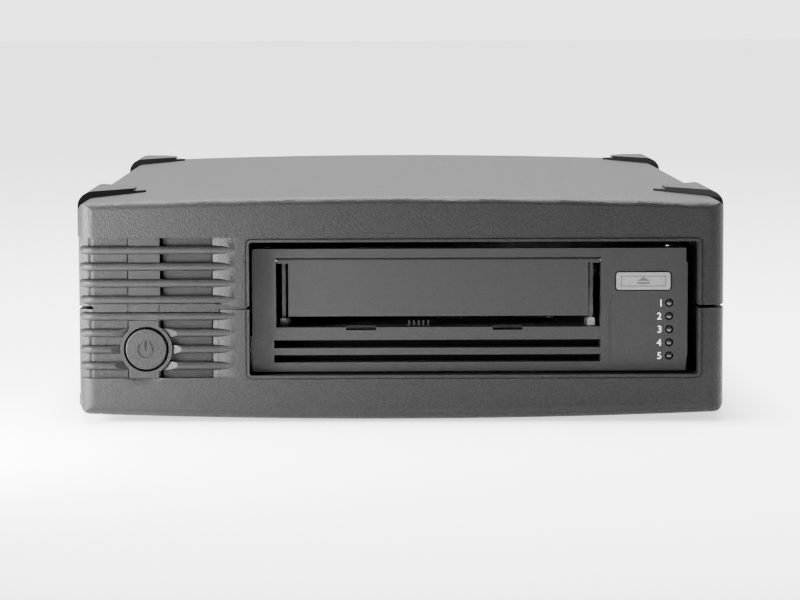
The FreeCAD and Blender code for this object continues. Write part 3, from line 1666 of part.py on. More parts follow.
def fan_rotor():
    """Cup hub with a shaft and twisted blades, each lofted from its root to its tip."""
    y0 = fan_front + 3.0
    depth = fan_depth - 4.5
    hub = rod(fan_x, y0, parting_z, rotor_hub_radius, depth, ALONG_Y)
    hub = hub.cut(rod(fan_x, y0 - 1, parting_z, rotor_hub_radius - 1.4, depth - 0.6, ALONG_Y))
    shaft = rod(fan_x, fan_front + 2.0, parting_z, shaft_radius, depth - 0.5, ALONG_Y)
    blades = []
    for i in range(fan_blade_count):
        sections = []
        for radius, pitch in ((rotor_hub_radius - 0.6, 52.0), (rotor_radius - 0.3, 30.0)):
            chord = 12.5
            run = chord * math.cos(math.radians(pitch))
            rise = min(chord * math.sin(math.radians(pitch)), depth - 2)
            thick = 1.0
            middle_y = y0 + depth / 2
            points = [
                Vec(-run / 2, middle_y - rise / 2, radius),
                Vec(run / 2, middle_y + rise / 2 - thick, radius),
                Vec(run / 2, middle_y + rise / 2, radius),
                Vec(-run / 2, middle_y - rise / 2 + thick, radius),
            ]
            sections.append(Part.makePolygon(points + [points[0]]))
        blade = Part.makeLoft(sections, True, True)
        blade = blade.common(rod(0, y0, 0, rotor_radius, depth, ALONG_Y))
        blade.rotate(Vec(0, 0, 0), ALONG_Y, 360.0 / fan_blade_count * i)
        blade.translate(Vec(fan_x, 0, parting_z))
        blades.append(blade)
    return joined([hub, shaft] + blades)


def inlet_socket():
    """Moulded mains inlet: a flange with two ears and a hexagonal recess for the plug."""
    outer_y = panel_y + panel_thickness
    flange_corners = [
        (inlet_x - inlet_screw_spacing / 2 - 5, parting_z - 4.5, 3.5),
        (inlet_x - inlet_width / 2, parting_z - inlet_height / 2 - 1.4, 2.0),
        (inlet_x + inlet_width / 2, parting_z - inlet_height / 2 - 1.4, 2.0),
        (inlet_x + inlet_screw_spacing / 2 + 5, parting_z - 4.5, 3.5),
        (inlet_x + inlet_screw_spacing / 2 + 5, parting_z + 4.5, 3.5),
        (inlet_x + inlet_width / 2, parting_z + inlet_height / 2 + 1.4, 2.0),
        (inlet_x - inlet_width / 2, parting_z + inlet_height / 2 + 1.4, 2.0),
        (inlet_x - inlet_screw_spacing / 2 - 5, parting_z + 4.5, 3.5),
    ]
    flange = rounded_face(flange_corners, lambda a, b: Vec(a, outer_y, b)).extrude(Vec(0, 2.2, 0))
    body = rounded_block(inlet_x - inlet_width / 2, inlet_x + inlet_width / 2, outer_y - inlet_depth,
                         outer_y + 0.5,
                         parting_z - inlet_height / 2, parting_z + inlet_height / 2, 2.0)
    half_w = inlet_width / 2 - 1.8
    half_h = inlet_height / 2 - 1.8
    bevel = 4.5
    recess_corners = [
        (inlet_x - half_w, parting_z - half_h, 0.8),
        (inlet_x + half_w, parting_z - half_h, 0.8),
        (inlet_x + half_w, parting_z + half_h - bevel, 0.8),
        (inlet_x + half_w - bevel, parting_z + half_h, 0.8),
        (inlet_x - half_w + bevel, parting_z + half_h, 0.8),
        (inlet_x - half_w, parting_z + half_h - bevel, 0.8),
    ]
    recess = rounded_face(recess_corners, lambda a, b: Vec(a, outer_y + 2.2 - inlet_recess, b)).extrude(
        Vec(0, inlet_recess + 1, 0)
    )
    pin_holes = [pin_block(x, z) for x, z in pin_places()]
    screw_holes = [rod(x, outer_y - 1, parting_z, 1.6, 5.0, ALONG_Y) for x in inlet_screw_places()]
    return joined([flange, body]).cut([recess] + pin_holes + screw_holes)


inlet_depth = 19.0
pin_width = 2.0
pin_height = 4.0
inlet_recess = 16.0


def pin_places():
    return [(inlet_x - 7.0, parting_z - 1.0), (inlet_x + 7.0, parting_z - 1.0), (inlet_x, parting_z + 3.0)]


def pin_block(x, z):
    outer_y = panel_y + panel_thickness
    y0 = outer_y - inlet_depth - 6.0
    return block(
        x - pin_width / 2, x + pin_width / 2, y0, outer_y - 1.8, z - pin_height / 2, z + pin_height / 2,
    )


def inlet_pins():
    return Part.makeCompound([pin_block(x, z) for x, z in pin_places()])


def panel_screws():
    """Screws of the fan and of the inlet, heads outside the panel."""
    outer_y = panel_y + panel_thickness
    screws = []
    for x, z in fan_screw_places():
        head = rod(x, outer_y, z, 3.0, 1.5, ALONG_Y)
        screws.append(head.fuse(rod(x, outer_y - 9.0, z, 1.7, 9.2, ALONG_Y)).removeSplitter())
    for x in inlet_screw_places():
        head = rod(x, outer_y + 2.2, parting_z, 2.6, 1.3, ALONG_Y)
        screws.append(head.fuse(rod(x, outer_y - 4.0, parting_z, 1.4, 6.4, ALONG_Y)).removeSplitter())
    return Part.makeCompound(screws)


def port_shells():
    """Folded metal shells of the two data ports."""
    y1 = panel_y + panel_thickness + 1.6
    shells = []
    for x in port_places():
        z0 = port_low()
        shell = rounded_block(
            x - port_width / 2, x + port_width / 2, y1 - port_depth, y1, z0, z0 + port_height, 0.8,
        )
        room = rounded_block(x - port_width / 2 + port_wall, x + port_width / 2 - port_wall,
                             y1 - port_depth + 1.5, y1 + 1,
                             z0 + port_wall, z0 + port_height - port_wall, 0.5)
        shells.append(shell.cut(room))
    return Part.makeCompound(shells)


def port_tongues():
    y1 = panel_y + panel_thickness + 1.6
    tongues = []
    for x in port_places():
        z0 = port_low() + port_wall
        back = rounded_block(x - port_width / 2 + port_wall, x + port_width / 2 - port_wall,
                             y1 - port_depth + 1.5,
                             y1 - port_depth + 7.0, z0, z0 + port_height - 2 * port_wall, 0.5)
        tongue = block(
            x - port_width / 2 + 3.0, x + port_width / 2 - 3.0, y1 - port_depth + 6.5, y1 - 3.5, z0 + 1.8,
            z0 + 3.0,
        )
        tongues.append(back.fuse(tongue).removeSplitter())
    return Part.makeCompound(tongues)


port_board_width = 66.0
port_plug_width = 24.0
port_plug_depth = 6.0
port_plug_height = 5.0
port_board_length = 34.0


def port_board():
    """Small board that carries the ports; it stands on two blocks on the bottom cover's floor."""
    z1 = port_low()
    y1 = panel_y - 3.0
    board = block(
        port_x - port_board_width / 2, port_x + port_board_width / 2, y1 - port_board_length, y1,
        z1 - board_thickness, z1,
    )
    y0 = y1 - port_board_length + 1.0
    plug = block(
        port_x - port_plug_width / 2, port_x + port_plug_width / 2, y0, y0 + port_plug_depth, z1 - 0.1,
        z1 + port_plug_height
    )
    return board.fuse(plug)


# ---- power supply ----
def supply_frame():
    y0 = front_y + supply_start
    return supply_left_x, supply_left_x + supply_width, y0, y0 + supply_length


def supply_board():
    x0, x1, y0, y1 = supply_frame()
    board = block(x0, x1, y0, y1, supply_board_z, supply_board_z + board_thickness)
    return board.cut([rod(x, y, supply_board_z - 1, 1.3, 4.0) for x, y in supply_screw_places()])


def supply_screws():
    screws = []
    for x, y in supply_screw_places():
        top = supply_board_z + board_thickness
        screws.append(rod(x, y, top, 2.4, 1.4).fuse(rod(x, y, top - 1.5, 1.2, 1.6)).removeSplitter())
    return Part.makeCompound(screws)


def supply_transformer():
    """Ferrite core of two E halves round a wound bobbin."""
    x0, x1, y0, y1 = supply_frame()
    x = (x0 + x1) / 2
    y = y0 + supply_length * 0.56
    z = supply_board_z + board_thickness
    half = supply_width * 0.375
    room_half = half * 0.667
    core = block(x - half, x + half, y - 6, y + 6, z + 2, z + 26)
    room = block(x - room_half, x + room_half, y - 7, y + 7, z + 6.5, z + 21.5)
    bobbin = rounded_block(x - room_half + 0.2, x + room_half - 0.2, y - 11, y + 11, z + 6.8, z + 21.2, 2.0)
    base = block(x - half + 1, x + half - 1, y - 11, y + 11, z, z + 2.2)
    middle = block(x - room_half - 0.2, x + room_half + 0.2, y - 5, y + 5, z + 6, z + 22)
    return joined([core.cut(room), base, bobbin, middle])


capacitors = (  # place across and along the board as shares of it, radius, height
    (0.30, 0.24, 9.0, 34.0),
    (0.75, 0.24, 6.0, 20.0),
    (0.20, 0.88, 5.0, 18.0),
    (0.50, 0.88, 5.0, 18.0),
    (0.80, 0.88, 5.0, 18.0),
)
fin_pitch = 4.9
fin_thickness = 1.2
fin_depth = 5.0
sink_height = 30.0
sink_web = 1.6


def supply_capacitors():
    x0, x1, y0, y1 = supply_frame()
    z = supply_board_z + board_thickness
    cans = []
    for across_share, along_share, radius, height in capacitors:
        cans.append(
            rod(x0 + supply_width * across_share, y0 + supply_length * along_share, z, radius, height)
        )
    return Part.makeCompound(cans)


def supply_heat_sinks():
    """Two finned extrusions that stand along the board."""
    x0, x1, y0, y1 = supply_frame()
    z = supply_board_z + board_thickness
    sinks = []
    for share, x in ((0.40, x0 + 4.0), (0.74, x1 - 9.0)):
        y = y0 + supply_length * share
        half = (5 * fin_pitch + fin_thickness) / 2
        web = block(x, x + sink_web, y - half, y + half, z, z + sink_height)
        starts = [y - half + i * fin_pitch for i in range(6)]
        fins = [
            block(x, x + fin_depth, start, start + fin_thickness, z, z + sink_height) for start in starts
        ]
        sinks.append(joined([web] + fins))
    return Part.makeCompound(sinks)


# ---- springs ----
def power_spring():
    guide_y = front_y + button_depth + cap_thickness + button_spring_space
    start = front_y + button_depth + cap_skirt + 0.45
    return coil(button_x, start, button_z, 3.6, 0.35, guide_y - start - 0.4, 4, ALONG_Y)


def eject_spring():
    middle_x = across(eject_left + eject_width / 2)
    middle_z = down(eject_top + eject_height / 2)
    start = face_y + 0.8 + 0.3
    end = eject_board_y - eject_switch_depth - 0.3
    return coil(middle_x, start, middle_z, 1.35, 0.22, end - start, 4, ALONG_Y)


def save_all():
    save("top_cover", top_cover())
    save("bottom_cover", bottom_cover())
    save("corner_pads", corner_pads(True))
    save("corner_feet", corner_pads(False))
    save("power_button", power_button())
    save("power_button_spring", power_spring())
    save("power_switch", power_switch())
    save("switch_board", switch_board())
    save("case_screws", case_screws())
    save("drive_bezel", drive_bezel())
    save("cartridge_door", cartridge_door())
    save("door_pin", door_pin())
    save("eject_button", eject_button())
    save("eject_button_spring", eject_spring())
    save("indicator_lenses", indicator_lenses())
    save("indicator_board", indicator_board())
    save("chassis", chassis())
    save("chassis_lid", chassis_lid())
    save("lid_screws", lid_screws())
    save("drive_board", drive_board())
    save("drive_connector", drive_connector())
    save("cartridge_tray", cartridge_tray())
    save("loader_gear", loader_gear())
    save("motor_pinion", motor_pinion())
    save("loader_motor", loader_motor())
    hub_x, hub_y = hub_centre()
    save("hub_motor", spindle_motor(hub_x, hub_y, hub_radius + 1.5, motor_height))
    save("drive_hub", drive_hub())
    reel_x, reel_y = reel_centre()
    save("reel_motor", spindle_motor(reel_x, reel_y, reel_core_radius, motor_height))
    save("take_up_reel", take_up_reel())
    for number, (x, y) in enumerate(roller_places(), 1):
        save(f"guide_roller_{number}", guide_roller(x, y))
    save("head_base", head_base())
    save("head_carriage", head_carriage())
    save("drive_cradle", drive_cradle())
    save("cradle_screws", cradle_screws())
    save("rear_panel", rear_panel())
    save("fan_frame", fan_frame())
    save("fan_rotor", fan_rotor())
    save("inlet_socket", inlet_socket())
    save("inlet_pins", inlet_pins())
    save("panel_screws", panel_screws())
    save("port_shells", port_shells())
    save("port_tongues", port_tongues())
    save("port_board", port_board())
    save("supply_board", supply_board())
    save("supply_screws", supply_screws())
    save("supply_transformer", supply_transformer())
    save("supply_capacitors", supply_capacitors())
    save("supply_heat_sinks", supply_heat_sinks())


save_all()
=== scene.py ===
import math

import bmesh
import bpy
import numpy as np
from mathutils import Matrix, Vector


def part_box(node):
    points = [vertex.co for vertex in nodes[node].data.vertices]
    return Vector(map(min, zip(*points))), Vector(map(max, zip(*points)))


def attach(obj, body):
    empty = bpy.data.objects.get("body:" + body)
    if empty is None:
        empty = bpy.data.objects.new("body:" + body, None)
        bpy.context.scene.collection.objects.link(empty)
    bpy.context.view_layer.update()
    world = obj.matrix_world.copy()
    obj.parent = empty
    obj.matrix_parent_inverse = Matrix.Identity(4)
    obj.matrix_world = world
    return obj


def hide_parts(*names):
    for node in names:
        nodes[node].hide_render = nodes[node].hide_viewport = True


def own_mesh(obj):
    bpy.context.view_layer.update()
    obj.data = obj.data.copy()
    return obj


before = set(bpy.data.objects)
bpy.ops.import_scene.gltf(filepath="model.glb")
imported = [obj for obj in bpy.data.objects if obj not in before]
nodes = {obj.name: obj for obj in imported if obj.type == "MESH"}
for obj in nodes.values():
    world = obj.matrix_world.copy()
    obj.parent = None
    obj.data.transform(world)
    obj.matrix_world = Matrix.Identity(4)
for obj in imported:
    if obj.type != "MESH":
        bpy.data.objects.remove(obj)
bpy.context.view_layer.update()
mm = 0.001
print("frame loaded:", len(nodes), "nodes")


# node helpers
def startMaterial(name):
    made = bpy.data.materials.new(name)
    made.use_nodes = True
    return made, made.node_tree, made.node_tree.nodes["Principled BSDF"]


def addNode(tree, kind, settings=None, inputs=None):
    node = tree.nodes.new(kind)
    for key, value in (settings or {}).items():
        setattr(node, key, value)
    for key, value in (inputs or {}).items():
        if isinstance(value, bpy.types.NodeSocket):
            tree.links.new(value, node.inputs[key])
        else:
            node.inputs[key].default_value = value
    return node


def objectCoords(tree, scale=(1, 1, 1)):
    coords = addNode(tree, "ShaderNodeTexCoord")
    return addNode(tree, "ShaderNodeMapping", inputs={
        "Vector": coords.outputs["Object"], "Scale": scale}).outputs["Vector"]


def noise(tree, coords, scale, detail=2.0, roughness=0.5):
    return addNode(tree, "ShaderNodeTexNoise", inputs={
        "Vector": coords, "Scale": scale, "Detail": detail, "Roughness": roughness}).outputs["Fac"]


def cells(tree, coords, scale, output):
    return addNode(tree, "ShaderNodeTexVoronoi", inputs={"Vector": coords, "Scale": scale}).outputs[output]


def spread(tree, value, low, high, toLow=0.0, toHigh=1.0):
    return addNode(tree, "ShaderNodeMapRange", inputs={
        "Value": value, "From Min": low, "From Max": high,
        "To Min": toLow, "To Max": toHigh}).outputs["Result"]


def blendColours(tree, factor, first, second):
    mix = addNode(tree, "ShaderNodeMix", {"data_type": "RGBA"})
    for socket, value in ((mix.inputs[0], factor), (mix.inputs[6], first), (mix.inputs[7], second)):
        if isinstance(value, bpy.types.NodeSocket):
            tree.links.new(value, socket)
        else:
            socket.default_value = value
    return mix.outputs[2]


def math2(tree, how, first, second):
    return addNode(tree, "ShaderNodeMath", {"operation": how}, {0: first, 1: second}).outputs[0]


def grey(value):
    return (value, value, value, 1.0)


# a colour made darker or lighter, held at 1 at most
def shaded(colour, factor):
    return tuple(min(factor * c, 1.0) for c in colour[:3]) + (1.0,)


def connect(tree, value, socket):
    tree.links.new(value, socket)


def bump(tree, shader, height, strength, distance):
    made = addNode(tree, "ShaderNodeBump", inputs={
        "Height": height, "Strength": strength, "Distance": distance})
    connect(tree, made.outputs["Normal"], shader.inputs["Normal"])


# Moulded plastic with a spark-eroded grain: round pits and fine noise together lift the
# surface, fleck the colour and break the gloss; a slow drift keeps large faces uneven.
def grainedPlastic(name, shade, grain, contrast, rough, relief, gloss):
    made, tree, shader = startMaterial(name)
    coords = objectCoords(tree)
    fine = noise(tree, coords, 1 / grain, 4.0, 0.65)
    pits = cells(tree, coords, 0.9 / grain, "Distance")
    slow = noise(tree, coords, 9.0, 2.0, 0.5)
    height = math2(tree, "ADD", fine, math2(tree, "MULTIPLY", pits, 0.35))
    flecks = spread(tree, height, 0.45, 0.9)
    colour = blendColours(tree, flecks, grey(shade * (1 - contrast)), grey(shade * (1 + contrast)))
    drift = spread(tree, slow, 0.3, 0.7, 0.0, 0.15)
    connect(tree, blendColours(tree, drift, colour, grey(shade * 1.5)), shader.inputs["Base Color"])
    connect(tree, spread(tree, height, 0.45, 0.9, rough + 0.08, rough - 0.08), shader.inputs["Roughness"])
    shader.inputs["Specular IOR Level"].default_value = gloss
    bump(tree, shader, height, relief, 0.2 * mm)
    return made


# Plain moulded plastic: a slow waviness in the gloss and a faint mottle.
def smoothPlastic(name, colour, rough, gloss=0.5, ripple=0.08):
    made, tree, shader = startMaterial(name)
    coords = objectCoords(tree)
    mottle = noise(tree, coords, 700.0, 2.0, 0.5)
    slow = noise(tree, coords, 60.0, 2.0, 0.5)
    tones = blendColours(tree, spread(tree, mottle, 0.3, 0.7), shaded(colour, 0.88), shaded(colour, 1.12))
    connect(tree, tones, shader.inputs["Base Color"])
    connect(tree, spread(tree, slow, 0.3, 0.7, rough - 0.04, rough + 0.04), shader.inputs["Roughness"])
    shader.inputs["Specular IOR Level"].default_value = gloss
    bump(tree, shader, mottle, ripple, 0.1 * mm)
    return made


# Drawn or turned metal: noise pulled out along one way into fine lines.
def brushedMetal(name, colour, rough, along=(1, 60, 60), scale=30.0, relief=0.05):
    made, tree, shader = startMaterial(name)
    lines = noise(tree, objectCoords(tree, along), scale, 3.0, 0.6)
    connect(tree, blendColours(tree, lines, shaded(colour, 0.8), colour), shader.inputs["Base Color"])
    connect(tree, spread(tree, lines, 0.3, 0.7, rough - 0.08, rough + 0.08), shader.inputs["Roughness"])
    shader.inputs["Metallic"].default_value = 1.0
    bump(tree, shader, lines, relief, 0.05 * mm)
    return made


# Zinc-coated sheet: crystal cells of slightly different brightness.
def zincSheet(name):
    made, tree, shader = startMaterial(name)
    coords = objectCoords(tree)
    crystals = cells(tree, coords, 170.0, "Color")
    tones = addNode(tree, "ShaderNodeSeparateColor", inputs={"Color": crystals}).outputs["Red"]
    colour = blendColours(tree, tones, (0.2, 0.205, 0.21, 1), (0.3, 0.305, 0.31, 1))
    connect(tree, colour, shader.inputs["Base Color"])
    connect(tree, spread(tree, tones, 0.0, 1.0, 0.3, 0.45), shader.inputs["Roughness"])
    shader.inputs["Metallic"].default_value = 1.0
    bump(tree, shader, noise(tree, coords, 900.0), 0.06, 0.1 * mm)
    return made


# Die-cast alloy: a cloudy matt skin.
def castAlloy(name):
    made, tree, shader = startMaterial(name)
    skin = noise(tree, objectCoords(tree), 1100.0, 4.0, 0.65)
    tones = blendColours(tree, skin, (0.2, 0.2, 0.21, 1), (0.4, 0.4, 0.42, 1))
    connect(tree, tones, shader.inputs["Base Color"])
    shader.inputs["Metallic"].default_value = 0.9
    connect(tree, spread(tree, skin, 0.3, 0.7, 0.5, 0.62), shader.inputs["Roughness"])
    bump(tree, shader, skin, 0.25, 0.2 * mm)
    return made


# Green lacquered board, its copper lines showing through as a lighter green.
def circuitBoard(name):
    made, tree, shader = startMaterial(name)
    coords = objectCoords(tree)
    lines = addNode(tree, "ShaderNodeTexBrick", inputs={
        "Vector": coords, "Scale": 160.0, "Mortar Size": 0.02, "Color1": (0, 0, 0, 1),
        "Color2": (0.25, 0.25, 0.25, 1), "Mortar": (1, 1, 1, 1)}).outputs["Color"]
    colour = blendColours(tree, lines, (0.01, 0.1, 0.035, 1), (0.05, 0.22, 0.08, 1))
    connect(tree, colour, shader.inputs["Base Color"])
    connect(tree, spread(tree, noise(tree, coords, 300.0), 0.3, 0.7, 0.28, 0.4), shader.inputs["Roughness"])
    return made


# grain is the size of one fleck; contrast, relief and gloss are shares of 1
plasticLooks = {
    "case": {"shade": 0.009, "grain": 0.5 * mm, "contrast": 0.6, "rough": 0.42, "relief": 0.8, "gloss": 0.18},
    "pad": {"shade": 0.01, "grain": 0.4 * mm, "contrast": 0.2, "rough": 0.55, "relief": 0.3, "gloss": 0.2},
    "bezel": {"shade": 0.014, "grain": 0.4 * mm, "contrast": 0.3, "rough": 0.4, "relief": 0.3, "gloss": 0.2},
}


def makeFinishes():
    return {
        "case_plastic": grainedPlastic("casePlastic", **plasticLooks["case"]),
        "button_plastic": grainedPlastic("buttonPlastic", **plasticLooks["case"]),
        "pad_rubber": grainedPlastic("padRubber", **plasticLooks["pad"]),
        "bezel_plastic": grainedPlastic("bezelPlastic", **plasticLooks["bezel"]),
        "key_plastic": smoothPlastic("keyPlastic", (0.13, 0.13, 0.13, 1), 0.4),
        "lens_plastic": smoothPlastic("lensPlastic", (0.02, 0.02, 0.02, 1), 0.1, ripple=0.0),
        "tray_plastic": smoothPlastic("trayPlastic", (0.09, 0.09, 0.09, 1), 0.45),
        "gear_plastic": smoothPlastic("gearPlastic", (0.7, 0.69, 0.64, 1), 0.4),
        "black_plastic": smoothPlastic("blackPlastic", (0.02, 0.02, 0.021, 1), 0.4),
        "reel_plastic": smoothPlastic("reelPlastic", (0.05, 0.05, 0.055, 1), 0.35),
        "capacitor_sleeve": smoothPlastic("capacitorSleeve", (0.02, 0.03, 0.09, 1), 0.3),
        "ferrite": smoothPlastic("ferriteCore", (0.07, 0.065, 0.06, 1), 0.7, ripple=0.3),
        "steel": brushedMetal("turnedSteel", (0.62, 0.62, 0.63, 1), 0.3),
        "brass_plating": brushedMetal("brassPlating", (0.72, 0.56, 0.26, 1), 0.25),
        "zinc_sheet": zincSheet("zincSheet"),
        "cast_alloy": castAlloy("castAlloy"),
        "circuit_board": circuitBoard("boardLacquer"),
    }


finishes = makeFinishes()
for name, node in nodes.items():
    for slot in node.material_slots:
        slot.material = finishes[slot.material.name.split(".")[0]]
print("finishes set:", len(finishes))

shells = {
    "edgeAngle": 28.0,  # degrees; sharper edges stay crisp
    "crownRadius": 2700.0 * mm,
    "halfWidth": 108.0 * mm,
    "frontY": -154.8 * mm,
    "rearY": 155.2 * mm,
    "step": 6.0 * mm,  # between the cuts across a rounded edge
    "turns": 6,  # strips round a rounded edge
    "near": 0.25 * mm,  # a point this close to the rounding belongs to it
    "merge": 0.001 * mm,
    "flatPull": 60,  # how much more the large faces turn the normals; 50 is even
}
# node: piece, slot, height of the crown, 1 upward or -1 downward, front and rear edge radius
covers = {
    "top_cover": ("upperShell", "case_plastic", 75.8 * mm, 1, 2.8 * mm, 1.5 * mm),
    "bottom_cover": ("lowerShell", "case_plastic", 0.7 * mm, -1, 4.0 * mm, 1.5 * mm),
    "corner_pads": ("padRubbers", "pad_rubber", None, 1, 0, 0),
    "corner_feet": ("footRubbers", "pad_rubber", None, -1, 0, 0),
}


# The rounded end edges are tori about the crown's axis: with r the distance from that axis,
# every point lies one edge radius away from (y0, R - radius) in the y, r plane. The coarse
# faces there are cut into a grid, and all their points are moved out onto that form at once.
def roundEnd(mesh, crestZ, upward, endY, inward, radius):
    axisZ = crestZ - upward * shells["crownRadius"]
    y0 = endY + inward * radius
    r0 = shells["crownRadius"] - radius

    def places():
        flat = np.empty(3 * len(mesh.vertices))
        mesh.vertices.foreach_get("co", flat)
        at = flat.reshape(-1, 3)
        r = np.hypot(at[:, 0], at[:, 2] - axisZ)
        out = -inward * (at[:, 1] - y0)
        up = r - r0
        reach = np.hypot(out, up)
        on = (out > -shells["merge"]) & (up > -shells["merge"]) & (abs(reach - radius) < shells["near"])
        return at, r, out, up, reach, on

    on = places()[-1]
    work = bmesh.new()
    work.from_mesh(mesh)
    work.verts.ensure_lookup_table()
    marks = work.faces.layers.int.new("edgeZone")
    for face in work.faces:
        face[marks] = int(all(on[v.index] for v in face.verts))
    xs = np.arange(-shells["halfWidth"], shells["halfWidth"], shells["step"])
    turns = np.linspace(0, math.pi / 2, shells["turns"] + 1)[1:-1]
    planes = [((x, 0, 0), (1, 0, 0)) for x in xs]
    planes += [((0, y0 - inward * radius * math.sin(a), 0), (0, 1, 0)) for a in turns]
    for place, normal in planes:
        faces = [f for f in work.faces if f[marks]]
        edges = {e for f in faces for e in f.edges}
        verts = {v for f in faces for v in f.verts}
        geom = faces + list(edges) + list(verts)
        bmesh.ops.bisect_plane(work, geom=geom, plane_co=place, plane_no=normal, dist=1e-7)
    work.verts.index_update()
    rim = np.array(sorted({v.index for f in work.faces if f[marks] for v in f.verts}))
    work.faces.layers.int.remove(marks)
    work.to_mesh(mesh)
    work.free()
    at, r, out, up, reach, _ = places()
    grow = radius / reach[rim]
    newR = r0 + up[rim] * grow
    at[rim, 1] = y0 - inward * out[rim] * grow
    at[rim, 0] *= newR / r[rim]
    at[rim, 2] = axisZ + (at[rim, 2] - axisZ) * newR / r[rim]
    mesh.vertices.foreach_set("co", at.ravel())


def mergedCopy(node):
    mesh = nodes[node].data.copy()
    if "custom_normal" in mesh.attributes:
        mesh.attributes.remove(mesh.attributes["custom_normal"])
    work = bmesh.new()
    work.from_mesh(mesh)
    bmesh.ops.remove_doubles(work, verts=work.verts, dist=shells["merge"])
    work.to_mesh(mesh)
    work.free()
    return mesh


def shadeSmooth(mesh):
    mesh.polygons.foreach_set("use_smooth", np.ones(len(mesh.polygons), bool))
    mesh.set_sharp_from_angle(angle=math.radians(shells["edgeAngle"]))


def addPiece(name, mesh, body="housing"):
    piece = bpy.data.objects.new(name, mesh)
    bpy.context.collection.objects.link(piece)
    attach(piece, body)
    return piece


# A cover's own mesh, merged and shaded smooth up to the edge angle; the large faces pull the
# normals, so that the flats stay flat and the roundings run even.
def smoothCopy(node, name, slotName, crestZ, upward, frontRadius, rearRadius):
    mesh = mergedCopy(node)
    if frontRadius:
        roundEnd(mesh, crestZ, upward, shells["frontY"], 1, frontRadius)
        roundEnd(mesh, crestZ, upward, shells["rearY"], -1, rearRadius)
    shadeSmooth(mesh)
    piece = addPiece(name, mesh)
    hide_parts(node)
    weights = piece.modifiers.new("evenNormals", "WEIGHTED_NORMAL")
    weights.keep_sharp = True
    weights.weight = shells["flatPull"]


for node, facts in covers.items():
    smoothCopy(node, *facts)
print("smooth shells made:", len(covers))


# button springs: node: piece, joint, the button's travel
springs = {
    "power_button_spring": ("powerCoil", "power_button_press", 1.5 * mm),
    "eject_button_spring": ("ejectCoil", "eject_button_press", 0.8 * mm),
}


# Each spring is a merged copy of its node, shaded smooth in the spring wire finish and set on the housing, in
# place of the node.
def makeSprings():
    wire = brushedMetal("springWire", (0.55, 0.55, 0.56, 1), 0.3)
    for node, (name, joint, travel) in springs.items():
        mesh = mergedCopy(node)
        shadeSmooth(mesh)
        mesh.materials.clear()
        mesh.materials.append(wire)
        flat = np.empty(3 * len(mesh.vertices))
        mesh.vertices.foreach_get("co", flat)
        piece = addPiece(name, mesh)
        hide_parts(node)
        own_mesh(piece)


makeSprings()
print("springs made:", len(springs))


# Outline of a rounded rectangle as one array: a corner's middle plus the corner radius
# times (cos t, sin t), with t running once round and the middle changing every quarter.
def roundedOutline(x0, x1, z0, z1, corner, perCorner=5):
    t = (np.arange(4)[:, None] + np.linspace(0, 1, perCorner)[None, :]) * math.pi / 2
    middleX = np.array([x1 - corner, x0 + corner, x0 + corner, x1 - corner])[:, None]
    middleZ = np.array([z1 - corner, z1 - corner, z0 + corner, z0 + corner])[:, None]
    at = np.stack((middleX + corner * np.cos(t), middleZ + corner * np.sin(t)), axis=2)
    return at.reshape(-1, 2)


# Solid that carries an outline along a profile of (inset, depth) steps: ring k is the outline with
# its half width and half height made smaller by the inset, set at the depth. Both ends are closed.
def carriedOutline(outline, steps):
    middle = (outline.max(0) + outline.min(0)) / 2
    sizes = (outline.max(0) - outline.min(0)) / 2
    steps = np.array(steps)
    inset, depth = steps[:, 0], steps[:, 1]
    shrink = 1 - inset[:, None, None] / sizes[None, None, :]
    ring = middle + (outline - middle)[None, :, :] * shrink
    across = np.broadcast_to(depth[:, None, None], ring.shape[:2] + (1,))
    points = np.concatenate((ring[:, :, :1], across, ring[:, :, 1:]), axis=2).reshape(-1, 3)
    n, rings = len(outline), len(steps)
    k = np.arange(rings - 1)[:, None] * n
    i = np.arange(n)[None, :]
    j = (i + 1) % n
    quads = np.stack((k + i, k + j, k + n + j, k + n + i), axis=2).reshape(-1, 4)
    ends = [tuple(range(n))[::-1], tuple(range((rings - 1) * n, rings * n))]
    return points, [tuple(q) for q in quads.tolist()] + ends


def boxOutline(x0, x1, z0, z1):
    return np.array([(x1, z1), (x0, z1), (x0, z0), (x1, z0)])


# one piece out of several closed solids
def solidPiece(name, parts, finish, body="housing"):
    points, faces, start = [], [], 0
    for partPoints, partFaces in parts:
        points.append(partPoints)
        faces += [tuple(start + v for v in face) for face in partFaces]
        start += len(partPoints)
    mesh = bpy.data.meshes.new(name)
    mesh.from_pydata(np.vstack(points).tolist(), [], faces)
    work = bmesh.new()
    work.from_mesh(mesh)
    bmesh.ops.recalc_face_normals(work, faces=work.faces)
    work.to_mesh(mesh)
    work.free()
    mesh.materials.append(finish)
    addPiece(name, mesh, body)


# light caps on the two front posts of the tray
trayPosts = {
    "middleX": 12.35 * mm,
    "outer": 53.45 * mm,  # from the middle to a post's far side
    "width": 2.85 * mm,
    "lowZ": 29.95 * mm,
    "highZ": 33.85 * mm,
    "corner": 0.9 * mm,
    "frontY": -140.6 * mm,
    "backY": -138.0 * mm,
    "edge": ((0.35, 0.0), (0.1, 0.12), (0.0, 0.4)),  # inset and depth, mm, round the front edge
}


def makePostCaps():
    p = trayPosts
    steps = [(inset * mm, p["frontY"] + depth * mm) for inset, depth in p["edge"]] + [(0, p["backY"])]
    parts = []
    for side in (-1, 1):
        far = p["middleX"] + side * p["outer"]
        x0, x1 = sorted((far, far - side * p["width"]))
        parts.append(carriedOutline(roundedOutline(x0, x1, p["lowZ"], p["highZ"], p["corner"]), steps))
    nylon = smoothPlastic("paleNylon", (0.55, 0.55, 0.54, 1), 0.4)
    solidPiece("trayPostCaps", parts, nylon, "tray")
